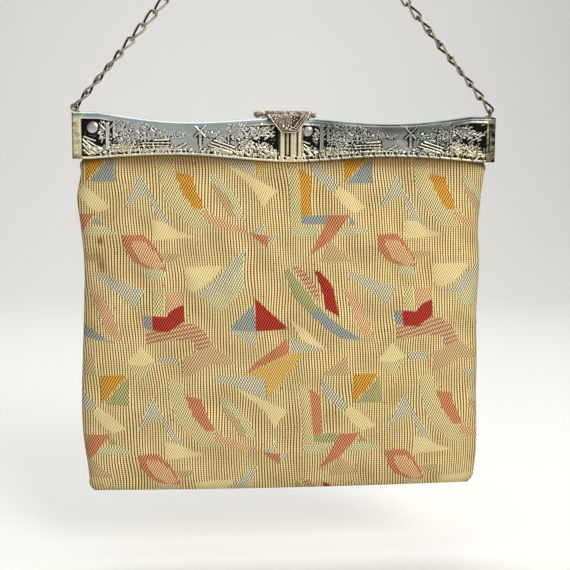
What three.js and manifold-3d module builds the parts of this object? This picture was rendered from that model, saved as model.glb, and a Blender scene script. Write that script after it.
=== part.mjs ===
// A tapestry handbag: a flat woven pouch on a hinged cast frame, hanging by a curb chain.
// Millimetres, +Z up, +X to the viewer's right, front towards -Y.
// The origin is under the chain's middle link, where a hook or a finger carries the bag.
import * as THREE from "three";
import { mergeVertices } from "three/addons/utils/BufferGeometryUtils.js";
import Module from "manifold-3d";

// Driving dimensions of the whole bag
const FRAME_LENGTH = 201;
const FRAME_END_HEIGHT = 21.7;
const FRAME_DEPTH = 13.6;
const CHAIN_DROP = 113;
const POUCH_DROP = 161.5;

// Heights that follow from them
const HALF_LENGTH = FRAME_LENGTH / 2;
const HALF_DEPTH = FRAME_DEPTH / 2;
const FRAME_TOP = -CHAIN_DROP;
const FRAME_BOTTOM = FRAME_TOP - FRAME_END_HEIGHT;

// Edges of the frame: flat ends, a waist at each quarter, and a middle that swells again
const TOP_EDGE = { flatFrom: 88, waist: 47, waistDip: 4.1, middleDip: 1.7 };
const LOW_EDGE = { flatFrom: 92, waist: 51, waistRise: 2.2, middleRise: -0.6 };
const EDGE_STEPS = 20;

// The channel of each rail
const RAIL_GAP = 0.4;
const RAIL_WALL = 1.4;
const FACE_THICKNESS = 1.5;
const EDGE_CHAMFER = 0.8;
const PANEL = { recess: 0.7, end: 4.2, top: 3.2, bottom: 3.7, steps: 10 };
const MIDDLE = { left: -4.3, right: 7 };
const SEW_HOLE = { count: 36, spacing: 5.3, shift: 1.2, radius: 0.5, aboveEdge: 1.7, sides: 5 };

// Cast work of the front rail
const RELIEF_RISE = 0.6;
const RELIEF_ROOT = 0.2;
const MIDDLE_BAR = { rise: 0.5, below: 8, above: 3 };
// A row for each upright bar between the panels
const MIDDLE_BARS = [
  { from: -3.7, to: -1.5 },
  { from: 1.2, to: 4.1 },
  { from: 4.7, to: 6.6 },
];
const CATCH_STUD = { radius: 1.4, rise: 1.2, below: 4.4 };

// Hinge of the two rails at their lower ends
const HINGE = { behind: 2.4, above: 2.4, hole: 1.1 };
const EAR = { radius: 2.3, thick: 1.1, armHalf: 2, bridgeTo: -4.5, bridgeFrom: -0.8 };
const RIVET = { radius: 0.8, head: 1.7, headThick: 0.9, tail: 1.4, tailThick: 0.5 };

// Room between pieces, how deep a joined piece is rooted, and how far a cutter passes what it cuts
const PIECE_GAP = 0.3;
const ROOT = 0.5;
const OVERRUN = 2;

// Clasp that folds over the top
const BARREL = { behind: 3.4, radius: 1.7, bore: 1.05, clear: 0.4, sides: 14 };
const FLAP = { half: 10.1, tip: 3.2, tall: 8.8, straight: 0.5 };
// Where the flap's slanting side is drawn to, below its shoulder and beside its tip
const FLAP_SIDE = { shoulder: 8.2, below: 2.5, beside: 1.1, above: 0.2 };
const FLAP_PLATE = { thick: 1.5, roof: 1.2, stand: 1.6, rim: 1.1, rimRise: 0.4 };
// A row for each leaf on the flap: its place across and below the roof, and its radius
const FLAP_LEAVES = [
  { across: -3.6, below: 2.6, radius: 1.1 },
  { across: 0, below: 3.6, radius: 1.7 },
  { across: 3.6, below: 2.6, radius: 1.1 },
];
const KNUCKLE = { from: 10.4, to: 11.8, footHalf: 1.45 };
const PIN = { radius: 0.8, ball: 1.9, ballAt: -13.9, cap: 1.5, capFrom: 12.1, capTo: 14.2 };

// Chain and the eyes that it hangs from
const LINK = { wire: 1.1, halfWidth: 1.65, clear: 0.25, sides: 5, endSteps: 4, twist: Math.PI / 2 };
const LINKS_A_SIDE = 18;
const MIDDLE_PITCH = 8.15;
const EYE = { x: 100.1, y: 2.4, above: 2.4, ring: 1.45, wire: 1.1 };
const EYE_FOOT = { x: 99, shank: 0.7, collar: 1.3, collarThick: 0.5 };
const EYE_BLOCK = { from: 96.5, depth: 3.6, hole: 0.95, front: 0.6, back: 5 };

// Cloth of the pouch
const CLOTH_WALL = 1.5;
const PANEL_STEPS = 16;
const BOTTOM_SAG = 0.9;
const SEAM_BUNCHING = 0.55;
// A row for each level: drop below the frame's lower corners, half widths, depths, squareness at the seams
const POUCH_SECTIONS = [
  { drop: -7.2, left: 96.4, right: 96.4, front: 5.0, back: 5.0, square: 14 },
  { drop: 0.0, left: 96.5, right: 96.5, front: 5.1, back: 5.0, square: 14 },
  { drop: 1.6, left: 97.6, right: 97.8, front: 5.3, back: 5.0, square: 13 },
  { drop: 6.0, left: 97.5, right: 97.2, front: 5.8, back: 5.1, square: 10 },
  { drop: 17.0, left: 99.4, right: 96.1, front: 6.6, back: 5.4, square: 7 },
  { drop: 31.0, left: 98.1, right: 95.2, front: 7.4, back: 5.8, square: 6 },
  { drop: 47.0, left: 96.8, right: 96.4, front: 8.0, back: 6.1, square: 5 },
  { drop: 70.0, left: 97.2, right: 95.8, front: 8.5, back: 6.3, square: 5 },
  { drop: 95.0, left: 98.3, right: 96.7, front: 8.6, back: 6.3, square: 5 },
  { drop: 118.0, left: 99.1, right: 97.2, front: 8.1, back: 6.1, square: 5 },
  { drop: 136.0, left: 98.5, right: 97.9, front: 7.0, back: 5.5, square: 6 },
  { drop: 148.0, left: 96.9, right: 97.9, front: 5.4, back: 4.4, square: 8 },
  { drop: 155.0, left: 96.2, right: 97.1, front: 3.9, back: 3.3, square: 10 },
  { drop: 159.8, left: 95.7, right: 96.0, front: 2.5, back: 2.2, square: 12 },
  { drop: POUCH_DROP, left: 94.2, right: 94.4, front: 1.0, back: 0.9, square: 12 },
];
const FULLEST = Math.max(...POUCH_SECTIONS.map(({ front }) => front));
// A row for each soft dent or swelling: its middle, its reach along and across, its lean and its rise
const FRONT_FOLDS = [
  { x: -80, drop: 30, along: 24, across: 6, lean: 8, rise: -1.3 },
  { x: -58, drop: 72, along: 38, across: 13, lean: -35, rise: 0.8 },
  { x: 76, drop: 52, along: 26, across: 7, lean: -18, rise: -1.2 },
  { x: 28, drop: 92, along: 52, across: 16, lean: 55, rise: 0.8 },
  { x: -34, drop: 122, along: 40, across: 9, lean: 14, rise: -0.9 },
  { x: 70, drop: 124, along: 26, across: 9, lean: 30, rise: 0.9 },
  { x: 0, drop: 16, along: 70, across: 7, lean: 0, rise: -0.6 },
];
const BACK_FOLDS = [
  { x: -60, drop: 46, along: 34, across: 9, lean: 25, rise: -0.9 },
  { x: 50, drop: 84, along: 44, across: 12, lean: -30, rise: -0.8 },
  { x: -10, drop: 120, along: 50, across: 10, lean: 6, rise: -0.7 },
];

const FINISH = {
  silver: { color: 0xb4b2a6, roughness: 0.38, metalness: 0.9 },
  bronze: { color: 0x8c7d69, roughness: 0.45, metalness: 0.85 },
  chain: { color: 0xa39a88, roughness: 0.4, metalness: 0.9 },
  cloth: { color: 0xd9c08a, roughness: 0.9, metalness: 0 },
};

const wasm = await Module();
wasm.setup();
const bag = new THREE.Group();
const { PI, abs, cos, sin, max, exp } = Math;

function addMesh(name, geometry, finish) {
  geometry.computeVertexNormals();
  const mesh = new THREE.Mesh(geometry, new THREE.MeshStandardMaterial(finish));
  mesh.name = name;
  bag.add(mesh);
}

// Geometry with shared vertices, as a solid that can be joined and cut
function solid(geometry) {
  const bare = new THREE.BufferGeometry().setAttribute("position", geometry.getAttribute("position"));
  if (geometry.index) bare.setIndex(geometry.index);
  const merged = mergeVertices(bare, 1e-4);
  const vertProperties = merged.getAttribute("position").array;
  const triVerts = new Uint32Array(merged.index.array);
  return new wasm.Manifold(new wasm.Mesh({ numProp: 3, vertProperties, triVerts }));
}

function geometryOf(body) {
  const { vertProperties, triVerts } = body.getMesh();
  const geometry = new THREE.BufferGeometry();
  geometry.setAttribute("position", new THREE.BufferAttribute(vertProperties, 3));
  return geometry.setIndex(new THREE.BufferAttribute(triVerts, 1));
}

function join(bodies) {
  return bodies.reduce((whole, body) => whole.add(body));
}

// A shape drawn in X and Z, made a plate between two depths
function plate(shape, fromY, toY, chamfer = 0) {
  const depth = abs(toY - fromY);
  const geometry = new THREE.ExtrudeGeometry(shape, {
    depth: depth - chamfer,
    bevelEnabled: chamfer > 0,
    bevelThickness: chamfer,
    bevelSize: chamfer,
    bevelOffset: -chamfer,
    bevelSegments: 1,
    curveSegments: 6,
  });
  return solid(geometry.rotateX(PI / 2).translate(0, max(fromY, toY), 0));
}

function block(fromX, toX, fromY, toY, fromZ, toZ) {
  const geometry = new THREE.BoxGeometry(abs(toX - fromX), abs(toY - fromY), abs(toZ - fromZ));
  return solid(geometry.translate((fromX + toX) / 2, (fromY + toY) / 2, (fromZ + toZ) / 2));
}

// A round bar along X, Y or Z
function bar(axis, radius, from, to, place, sides = 12) {
  const geometry = new THREE.CylinderGeometry(radius, radius, abs(to - from), sides);
  if (axis === "x") geometry.rotateZ(PI / 2);
  if (axis === "z") geometry.rotateX(PI / 2);
  const middle = new THREE.Vector3().copy(place);
  middle[axis] = (from + to) / 2;
  return solid(geometry.translate(middle.x, middle.y, middle.z));
}

// Frame edges, as heights along X
function topEdge(x) {
  const { flatFrom, waist, waistDip, middleDip } = TOP_EDGE;
  const out = abs(x);
  if (out >= flatFrom) return FRAME_TOP;
  if (out >= waist) return FRAME_TOP - waistDip * sin((PI / 2) * ((flatFrom - out) / (flatFrom - waist)));
  return FRAME_TOP - middleDip - (waistDip - middleDip) * (0.5 - 0.5 * cos((PI * out) / waist));
}

function lowEdge(x) {
  const { flatFrom, waist, waistRise, middleRise } = LOW_EDGE;
  const out = abs(x);
  if (out >= flatFrom) return FRAME_BOTTOM;
  if (out >= waist) return FRAME_BOTTOM + waistRise * sin((PI / 2) * ((flatFrom - out) / (flatFrom - waist)));
  return FRAME_BOTTOM + middleRise + (waistRise - middleRise) * (0.5 - 0.5 * cos((PI * out) / waist));
}

function shapeOf(points) {
  return new THREE.Shape(points.map(([x, z]) => new THREE.Vector2(x, z)));
}

// The outline between two edge curves, from one X to another
function band(fromX, toX, lower, upper, steps) {
  const places = Array.from({ length: steps + 1 }, (_, i) => fromX + ((toX - fromX) * i) / steps);
  const below = places.map((x) => new THREE.Vector2(x, lower(x)));
  const above = places.map((x) => new THREE.Vector2(x, upper(x))).reverse();
  return new THREE.Shape([...below, ...above]);
}

// One rail facing the front: a channel open inside and below, with two sunk panels and sewing holes
function plainRail() {
  const outline = band(-HALF_LENGTH, HALF_LENGTH, lowEdge, topEdge, EDGE_STEPS);
  let rail = plate(outline, OVERRUN, -HALF_DEPTH, EDGE_CHAMFER);
  const reach = HALF_LENGTH + OVERRUN;
  const below = FRAME_BOTTOM - OVERRUN;
  rail = rail.subtract(block(-reach, reach, -RAIL_GAP / 2, 2 * OVERRUN, below, FRAME_TOP + OVERRUN));
  const inside = HALF_LENGTH - RAIL_WALL;
  const pocket = band(-inside, inside, () => below, (x) => topEdge(x) - RAIL_WALL, EDGE_STEPS);
  rail = rail.subtract(plate(pocket, OVERRUN, -HALF_DEPTH + FACE_THICKNESS));
  const lower = (x) => lowEdge(x) + PANEL.bottom;
  const upper = (x) => topEdge(x) - PANEL.top;
  for (const side of [-1, 1]) {
    const inner = side < 0 ? MIDDLE.left : MIDDLE.right;
    const panel = band(inner, side * (HALF_LENGTH - PANEL.end), lower, upper, PANEL.steps);
    rail = rail.subtract(plate(panel, -HALF_DEPTH + PANEL.recess, -HALF_DEPTH - OVERRUN));
  }
  for (let i = 0; i < SEW_HOLE.count; i++) {
    const x = (i - (SEW_HOLE.count - 1) / 2) * SEW_HOLE.spacing + SEW_HOLE.shift;
    const place = new THREE.Vector3(x, 0, lowEdge(x) + SEW_HOLE.aboveEdge);
    rail = rail.subtract(bar("y", SEW_HOLE.radius, -HALF_DEPTH - OVERRUN, 0, place, SEW_HOLE.sides));
  }
  return rail;
}

// Shapes of the low relief, drawn in a panel's own along and height
const raise = {
  crown: (x, z, radius) => {
    const corners = Array.from({ length: 6 }, (_, i) => (PI * i) / 3);
    return corners.map((turn) => [x + radius * cos(turn), z + radius * sin(turn)]);
  },
  post: (x, z, width, tall) => [
    [x - width / 2, z],
    [x + width / 2, z],
    [x + width / 2, z + tall],
    [x - width / 2, z + tall],
  ],
  cottage: (x, z, width, tall) => [
    [x - width / 2, z],
    [x + width / 2, z],
    [x + width / 2, z + tall * 0.55],
    [x, z + tall],
    [x - width / 2, z + tall * 0.55],
  ],
  mill: (x, z, width, tall) => [
    [x - width / 2, z],
    [x + width / 2, z],
    [x + width / 4, z + tall],
    [x - width / 4, z + tall],
  ],
  hull: (x, z, width, tall) => [
    [x - width * 0.42, z],
    [x + width * 0.42, z],
    [x + width / 2, z + tall],
    [x - width / 2, z + tall],
  ],
  sail: (x, z, length, turn) => {
    const [c, s] = [cos(turn), sin(turn)];
    const half = 0.35;
    const corners = [[-length, -half], [length, -half], [length, half], [-length, half]];
    return corners.map(([a, b]) => [x + a * c - b * s, z + a * s + b * c]);
  },
};
// A row for each raised thing: its kind, its place along the panel and above its lower edge, and its sizes
const SCENE = [
  { kind: "crown", along: 5.6, height: 10.8, sizes: [2.6] },
  { kind: "post", along: 5.6, height: 0.5, sizes: [1.0, 8] },
  { kind: "post", along: 13.2, height: 0.5, sizes: [1.6, 11] },
  { kind: "crown", along: 13.8, height: 10.4, sizes: [2.2] },
  { kind: "cottage", along: 19, height: 0.8, sizes: [5.2, 6.4] },
  { kind: "cottage", along: 26, height: 2.2, sizes: [4.2, 4.6] },
  { kind: "crown", along: 31.6, height: 3.8, sizes: [1.7] },
  { kind: "hull", along: 38.5, height: 1.2, sizes: [8, 1.6] },
  { kind: "mill", along: 55, height: 0.9, sizes: [3.6, 5.0] },
  { kind: "sail", along: 55, height: 6.0, sizes: [2.6, PI / 4] },
  { kind: "sail", along: 55, height: 6.0, sizes: [2.6, -PI / 4] },
  { kind: "crown", along: 61.5, height: 3.4, sizes: [2.1] },
  { kind: "crown", along: 66.5, height: 4.4, sizes: [2.4] },
  { kind: "cottage", along: 72.6, height: 0.9, sizes: [4.6, 5.6] },
  { kind: "crown", along: 79.4, height: 4.6, sizes: [2.6] },
  { kind: "post", along: 84.4, height: 0.6, sizes: [1.2, 6] },
  { kind: "crown", along: 84.4, height: 9.0, sizes: [3.4] },
];

function reliefOf(panelStart) {
  return SCENE.map(({ kind, along, height, sizes }) => {
    const ground = lowEdge(panelStart + along) + PANEL.bottom;
    const points = raise[kind](panelStart + along, ground + height, ...sizes);
    const floor = -HALF_DEPTH + PANEL.recess;
    return plate(shapeOf(points), floor + RELIEF_ROOT, floor - RELIEF_RISE);
  });
}

function hingeHeight() {
  return FRAME_BOTTOM + HINGE.above;
}

// The front rail's ear, which reaches behind the parting line to its rivet
function hingeEar(side) {
  const outer = HALF_LENGTH - RAIL_WALL - PIECE_GAP;
  const inner = outer - EAR.thick;
  const z = hingeHeight();
  const pivot = new THREE.Vector3(0, HINGE.behind, z);
  const low = z - EAR.armHalf;
  const high = z + EAR.armHalf;
  const disc = bar("x", EAR.radius, side * inner, side * outer, pivot, 12);
  const arm = block(side * inner, side * outer, EAR.bridgeTo, HINGE.behind, low, high);
  const wall = outer + PIECE_GAP + ROOT;
  const spacer = block(side * inner, side * wall, EAR.bridgeTo, EAR.bridgeFrom, low, high);
  const hole = bar("x", HINGE.hole, side * (inner - OVERRUN), side * (outer + OVERRUN), pivot, 10);
  return join([disc, arm, spacer]).subtract(hole);
}

function frontRail() {
  const leftStart = -HALF_LENGTH + PANEL.end;
  let rail = join([plainRail(), ...reliefOf(leftStart), ...reliefOf(MIDDLE.right)]);
  const face = -HALF_DEPTH;
  const low = lowEdge(0) + MIDDLE_BAR.above;
  const high = topEdge(0) - MIDDLE_BAR.below;
  for (const { from, to } of MIDDLE_BARS) {
    rail = rail.add(block(from, to, face + ROOT, face - MIDDLE_BAR.rise, low, high));
  }
  for (const side of [-1, 1]) rail = rail.add(hingeEar(side));
  const studPlace = new THREE.Vector3(0, 0, topEdge(0) - CATCH_STUD.below);
  return rail.add(bar("y", CATCH_STUD.radius, face + ROOT, face - CATCH_STUD.rise, studPlace, 10));
}

const barrelAxis = new THREE.Vector3(0, BARREL.behind, topEdge(0) + BARREL.clear + BARREL.radius);

// A round knuckle with a foot on the rail, still without its bore
function knuckle(side) {
  const { from, to, footHalf } = KNUCKLE;
  const tube = bar("x", BARREL.radius, side * from, side * to, barrelAxis, BARREL.sides);
  const near = barrelAxis.y - footHalf;
  const far = barrelAxis.y + footHalf;
  return tube.add(block(side * from, side * to, near, far, topEdge(to) - ROOT, barrelAxis.z));
}

function backRail() {
  let rail = solid(geometryOf(plainRail()).rotateZ(PI));
  const pivot = new THREE.Vector3(0, HINGE.behind, hingeHeight());
  for (const side of [-1, 1]) {
    rail = rail.add(knuckle(side));
    const [from, to] = [side * EYE_BLOCK.from, side * (HALF_LENGTH - ROOT)];
    const low = FRAME_TOP - EYE_BLOCK.depth;
    rail = rail.add(block(from, to, EYE_BLOCK.front, EYE_BLOCK.back, low, FRAME_TOP - ROOT));
    const eyePlace = new THREE.Vector3(side * EYE_FOOT.x, EYE.y, 0);
    rail = rail.subtract(bar("z", EYE_BLOCK.hole, low - OVERRUN, FRAME_TOP + OVERRUN, eyePlace, 10));
    const ends = [side * (HALF_LENGTH - OVERRUN), side * (HALF_LENGTH + OVERRUN)];
    rail = rail.subtract(bar("x", HINGE.hole, ...ends, pivot, 10));
  }
  return rail.subtract(bar("x", BARREL.bore, -KNUCKLE.to - OVERRUN, KNUCKLE.to + OVERRUN, barrelAxis, 12));
}

function hingeRivet(side) {
  const pivot = new THREE.Vector3(0, HINGE.behind, hingeHeight());
  const tailFrom = HALF_LENGTH - RAIL_WALL - 2 * PIECE_GAP - EAR.thick - RIVET.tailThick;
  const headFrom = HALF_LENGTH + PIECE_GAP;
  const shank = bar("x", RIVET.radius, side * tailFrom, side * (headFrom + ROOT), pivot, 10);
  const head = bar("x", RIVET.head, side * headFrom, side * (headFrom + RIVET.headThick), pivot, 12);
  const tail = bar("x", RIVET.tail, side * tailFrom, side * (tailFrom + RIVET.tailThick), pivot, 10);
  return join([shank, head, tail]);
}

// The flap's face, drawn from its hinge line down: wide shoulders and slanting sides to a blunt tip
function flapShape(inset) {
  const { tall, tip, straight } = FLAP;
  const top = barrelAxis.z - BARREL.radius + FLAP_PLATE.roof;
  const half = FLAP.half - inset;
  const shoulder = FLAP_SIDE.shoulder - inset;
  const beside = tip + FLAP_SIDE.beside - inset;
  const blunt = tip - inset / 2;
  const low = top - tall + inset;
  const above = low + FLAP_SIDE.above;
  const below = top - FLAP_SIDE.below;
  const shape = new THREE.Shape();
  shape.moveTo(-half, top - inset);
  shape.lineTo(-half, top - inset - straight);
  shape.bezierCurveTo(-shoulder, below, -beside, above, -blunt, low);
  shape.lineTo(blunt, low);
  shape.bezierCurveTo(beside, above, shoulder, below, half, top - inset - straight);
  shape.lineTo(half, top - inset);
  return shape;
}

function claspFlap() {
  const { thick, roof, stand, rim, rimRise } = FLAP_PLATE;
  const back = -HALF_DEPTH - stand;
  const front = back - thick;
  const roofLow = barrelAxis.z - BARREL.radius;
  const raised = plate(flapShape(0), back, front - rimRise);
  const face = raised.subtract(plate(flapShape(rim), front, front - OVERRUN));
  const cover = block(-FLAP.half, FLAP.half, front, barrelAxis.y, roofLow, roofLow + roof);
  const barrel = bar("x", BARREL.radius, -FLAP.half, FLAP.half, barrelAxis, BARREL.sides);
  const leaves = FLAP_LEAVES.map(({ across, below, radius }) => {
    const points = raise.crown(across, roofLow - below, radius);
    return plate(shapeOf(points), front + ROOT, front - rimRise);
  });
  const bore = bar("x", BARREL.bore, -FLAP.half - OVERRUN, FLAP.half + OVERRUN, barrelAxis, 12);
  return join([face, cover, barrel, ...leaves]).subtract(bore);
}

function claspPin() {
  const rod = bar("x", PIN.radius, PIN.ballAt, PIN.capTo - ROOT, barrelAxis, 10);
  const ball = new THREE.SphereGeometry(PIN.ball, 10, 7);
  ball.translate(PIN.ballAt, barrelAxis.y, barrelAxis.z);
  const cap = bar("x", PIN.cap, PIN.capFrom, PIN.capTo, barrelAxis, 12);
  return join([rod, solid(ball), cap]);
}

// An eye at the frame's end, whose ring faces the front on the left and the side on the right
function chainEye(side) {
  const ring = new THREE.TorusGeometry(EYE.ring, EYE.wire / 2, 6, 12);
  if (side < 0) ring.rotateX(PI / 2);
  else ring.rotateY(PI / 2);
  const centre = eyeCentre(side);
  ring.translate(centre.x, centre.y, centre.z);
  const place = new THREE.Vector3(side * EYE_FOOT.x, centre.y, 0);
  const collarLow = FRAME_TOP + PIECE_GAP;
  const shank = bar("z", EYE_FOOT.shank, FRAME_TOP - EYE_BLOCK.depth, centre.z - EYE.ring, place, 8);
  const collar = bar("z", EYE_FOOT.collar, collarLow, collarLow + EYE_FOOT.collarThick, place, 8);
  return join([solid(ring), shank, collar]);
}

function eyeCentre(side) {
  return new THREE.Vector3(side * EYE.x, EYE.y, FRAME_TOP + EYE.above);
}

// A closed loop of wire, given its middle line and the outward direction at each point
function closedWire(points, outward, radius, sides) {
  const count = points.length;
  const positions = [];
  const index = [];
  points.forEach((point, i) => {
    const before = points[(i + count - 1) % count];
    const after = points[(i + 1) % count];
    const along = after.clone().sub(before).normalize();
    const out = outward[i].clone().addScaledVector(along, -along.dot(outward[i])).normalize();
    const across = along.clone().cross(out);
    for (let k = 0; k < sides; k++) {
      const turn = (2 * PI * k) / sides;
      const corner = point.clone().addScaledVector(out, radius * cos(turn));
      corner.addScaledVector(across, radius * sin(turn));
      positions.push(corner.x, corner.y, corner.z);
    }
  });
  for (let i = 0; i < count; i++) {
    for (let k = 0; k < sides; k++) {
      const a = i * sides + k;
      const b = i * sides + ((k + 1) % sides);
      const c = ((i + 1) % count) * sides + k;
      const d = ((i + 1) % count) * sides + ((k + 1) % sides);
      index.push(a, b, c, b, d, c);
    }
  }
  const geometry = new THREE.BufferGeometry();
  geometry.setAttribute("position", new THREE.Float32BufferAttribute(positions, 3));
  return geometry.setIndex(index);
}

// A curb link: a long oval, twisted along its length so that its ends stand square to each other
function curbLink(middle, along, pitch, turn) {
  const half = pitch / 2 + (LINK.wire + LINK.clear) / 2;
  const straight = half - LINK.halfWidth;
  const depthWise = new THREE.Vector3(0, 1, 0);
  depthWise.addScaledVector(along, -along.y).normalize();
  const sideWise = depthWise.clone().cross(along);
  const points = [];
  const outward = [];
  const place = (a, b, outA, outB) => {
    const angle = turn + (LINK.twist * a) / pitch;
    const lateral = sideWise.clone().multiplyScalar(cos(angle)).addScaledVector(depthWise, sin(angle));
    points.push(middle.clone().addScaledVector(along, a).addScaledVector(lateral, b));
    outward.push(along.clone().multiplyScalar(outA).addScaledVector(lateral, outB));
  };
  for (const end of [1, -1]) {
    place(0, -end * LINK.halfWidth, 0, -end);
    for (let i = 0; i <= LINK.endSteps; i++) {
      const angle = -PI / 2 + (PI * i) / LINK.endSteps;
      const [c, s] = [cos(angle), sin(angle)];
      place(end * (straight + LINK.halfWidth * c), end * LINK.halfWidth * s, end * c, end * s);
    }
  }
  return closedWire(points, outward, LINK.wire / 2, LINK.sides);
}

// Where a side of the chain takes hold of its eye, and of the middle link
function chainSide(side) {
  const level = LINK.halfWidth + LINK.wire / 2;
  const top = new THREE.Vector3((side * MIDDLE_PITCH) / 2, 0, level);
  const centre = eyeCentre(side);
  const along = top.clone().sub(centre).normalize();
  const hold = side < 0 ? new THREE.Vector3(along.x, 0, along.z) : new THREE.Vector3(0, along.y, along.z);
  const bottom = centre.clone().addScaledVector(hold.normalize(), EYE.ring);
  bottom.addScaledVector(along, -(LINK.wire + LINK.clear) / 2);
  return { top, bottom };
}

// The links from the left eye over the middle to the right eye, turning slowly so that both ends fit
function addChain() {
  const left = chainSide(-1);
  const right = chainSide(1);
  const quarter = PI / 4;
  const links = [];
  for (let i = 0; i < LINKS_A_SIDE; i++) {
    const share = i / (LINKS_A_SIDE - 1);
    const turn = -quarter * (1 - share);
    links.push({ from: left.bottom, to: left.top, step: i, count: LINKS_A_SIDE, turn });
  }
  links.push({ from: left.top, to: right.top, step: 0, count: 1, turn: 0 });
  for (let i = 0; i < LINKS_A_SIDE; i++) {
    const share = i / (LINKS_A_SIDE - 1);
    links.push({ from: right.top, to: right.bottom, step: i, count: LINKS_A_SIDE, turn: -quarter * share });
  }
  links.forEach(({ from, to, step, count, turn }, i) => {
    const middle = from.clone().lerp(to, (step + 0.5) / count);
    const along = to.clone().sub(from).normalize();
    const name = "chain_link_" + String(i + 1).padStart(2, "0");
    addMesh(name, curbLink(middle, along, from.distanceTo(to) / count, turn), FINISH.chain);
  });
}

// How far a panel of cloth stands out at a place, from its table of folds
function foldAt(folds, x, drop) {
  return folds.reduce((sum, { x: middle, drop: level, along, across, lean, rise }) => {
    const turn = (lean * PI) / 180;
    const a = (x - middle) * cos(turn) + (drop - level) * sin(turn);
    const c = -(x - middle) * sin(turn) + (drop - level) * cos(turn);
    return sum + rise * exp(-((a / along) ** 2) - (c / across) ** 2);
  }, 0);
}

// One level of the pouch, from the left seam along the front to the right seam and back, smaller by the inset
function pouchRing({ drop, left, right, front, back, square }, inset) {
  const point = (step, folds, depth, facing) => {
    const even = (2 * step) / PANEL_STEPS - 1;
    const bunched = -cos((PI * step) / PANEL_STEPS);
    const t = even + (bunched - even) * SEAM_BUNCHING;
    const x = t < 0 ? t * (left - inset) : t * (right - inset);
    const crown = Math.sqrt(max(0, 1 - abs(t) ** square));
    const y = (depth - inset + foldAt(folds, x, drop) * (depth / FULLEST)) * crown;
    const sag = (BOTTOM_SAG * max(0, drop) * (1 - t * t)) / POUCH_DROP;
    return new THREE.Vector3(x, facing * y, FRAME_BOTTOM - drop - sag);
  };
  const ring = [];
  for (let i = 0; i <= PANEL_STEPS; i++) ring.push(point(i, FRONT_FOLDS, front, -1));
  for (let i = PANEL_STEPS - 1; i > 0; i--) ring.push(point(i, BACK_FOLDS, back, 1));
  return ring;
}

// The hollow pouch: rings up the inside, over the open top edge and down the outside
function pouch() {
  const inner = POUCH_SECTIONS.slice(0, -1).map((section) => pouchRing(section, CLOTH_WALL));
  const outer = POUCH_SECTIONS.map((section) => pouchRing(section, 0));
  const rings = [...inner.reverse(), ...outer];
  const count = rings[0].length;
  const index = [];
  for (let k = 0; k < rings.length - 1; k++) {
    for (let i = 0; i < count; i++) {
      const next = (i + 1) % count;
      const [a, b, c, d] = [k * count + i, (k + 1) * count + i, (k + 1) * count + next, k * count + next];
      index.push(a, b, c, a, c, d);
    }
  }
  const seal = (first, facingUp) => {
    for (let i = 0; i < PANEL_STEPS; i++) {
      const near = [first + i, first + i + 1];
      const far = [first + ((count - i) % count), first + count - i - 1];
      const faces = [[near[0], far[0], near[1]], [near[1], far[0], far[1]]];
      for (const face of faces) {
        if (new Set(face).size === 3) index.push(...(facingUp ? face.reverse() : face));
      }
    }
  };
  seal(0, true);
  seal((rings.length - 1) * count, false);
  const geometry = new THREE.BufferGeometry().setFromPoints(rings.flat());
  return geometry.setIndex(index);
}

addMesh("pouch", pouch(), FINISH.cloth);
addMesh("front_rail", geometryOf(frontRail()), FINISH.silver);
addMesh("back_rail", geometryOf(backRail()), FINISH.silver);
addMesh("hinge_rivet_left", geometryOf(hingeRivet(-1)), FINISH.silver);
addMesh("hinge_rivet_right", geometryOf(hingeRivet(1)), FINISH.silver);
addMesh("clasp_flap", geometryOf(claspFlap()), FINISH.bronze);
addMesh("clasp_pin", geometryOf(claspPin()), FINISH.bronze);
addMesh("chain_eye_left", geometryOf(chainEye(-1)), FINISH.chain);
addMesh("chain_eye_right", geometryOf(chainEye(1)), FINISH.chain);
addChain();

export default bag;
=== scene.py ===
"""Looks of a tapestry handbag: a woven pouch on a cast frame, a fold-over clasp and a curb chain.

Sizes are in millimetres in the part's own frame: origin under the chain's middle link, +Z up, front to -Y.
"""

from itertools import product

import bpy
import numpy as np
from mathutils import Matrix


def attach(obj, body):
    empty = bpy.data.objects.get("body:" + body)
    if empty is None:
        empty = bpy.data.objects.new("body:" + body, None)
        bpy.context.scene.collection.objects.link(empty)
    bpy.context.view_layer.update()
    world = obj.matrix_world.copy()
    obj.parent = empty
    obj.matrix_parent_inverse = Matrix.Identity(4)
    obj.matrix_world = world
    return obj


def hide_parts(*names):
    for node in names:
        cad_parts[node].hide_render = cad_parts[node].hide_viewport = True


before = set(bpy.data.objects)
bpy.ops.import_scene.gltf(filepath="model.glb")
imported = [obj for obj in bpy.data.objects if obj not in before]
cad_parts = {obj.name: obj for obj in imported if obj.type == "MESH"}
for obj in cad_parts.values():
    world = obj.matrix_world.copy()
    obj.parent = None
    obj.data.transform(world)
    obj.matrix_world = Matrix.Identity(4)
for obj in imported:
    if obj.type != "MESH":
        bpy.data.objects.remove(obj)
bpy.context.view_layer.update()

METRES = 0.001
TURN = 2 * np.pi

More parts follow.
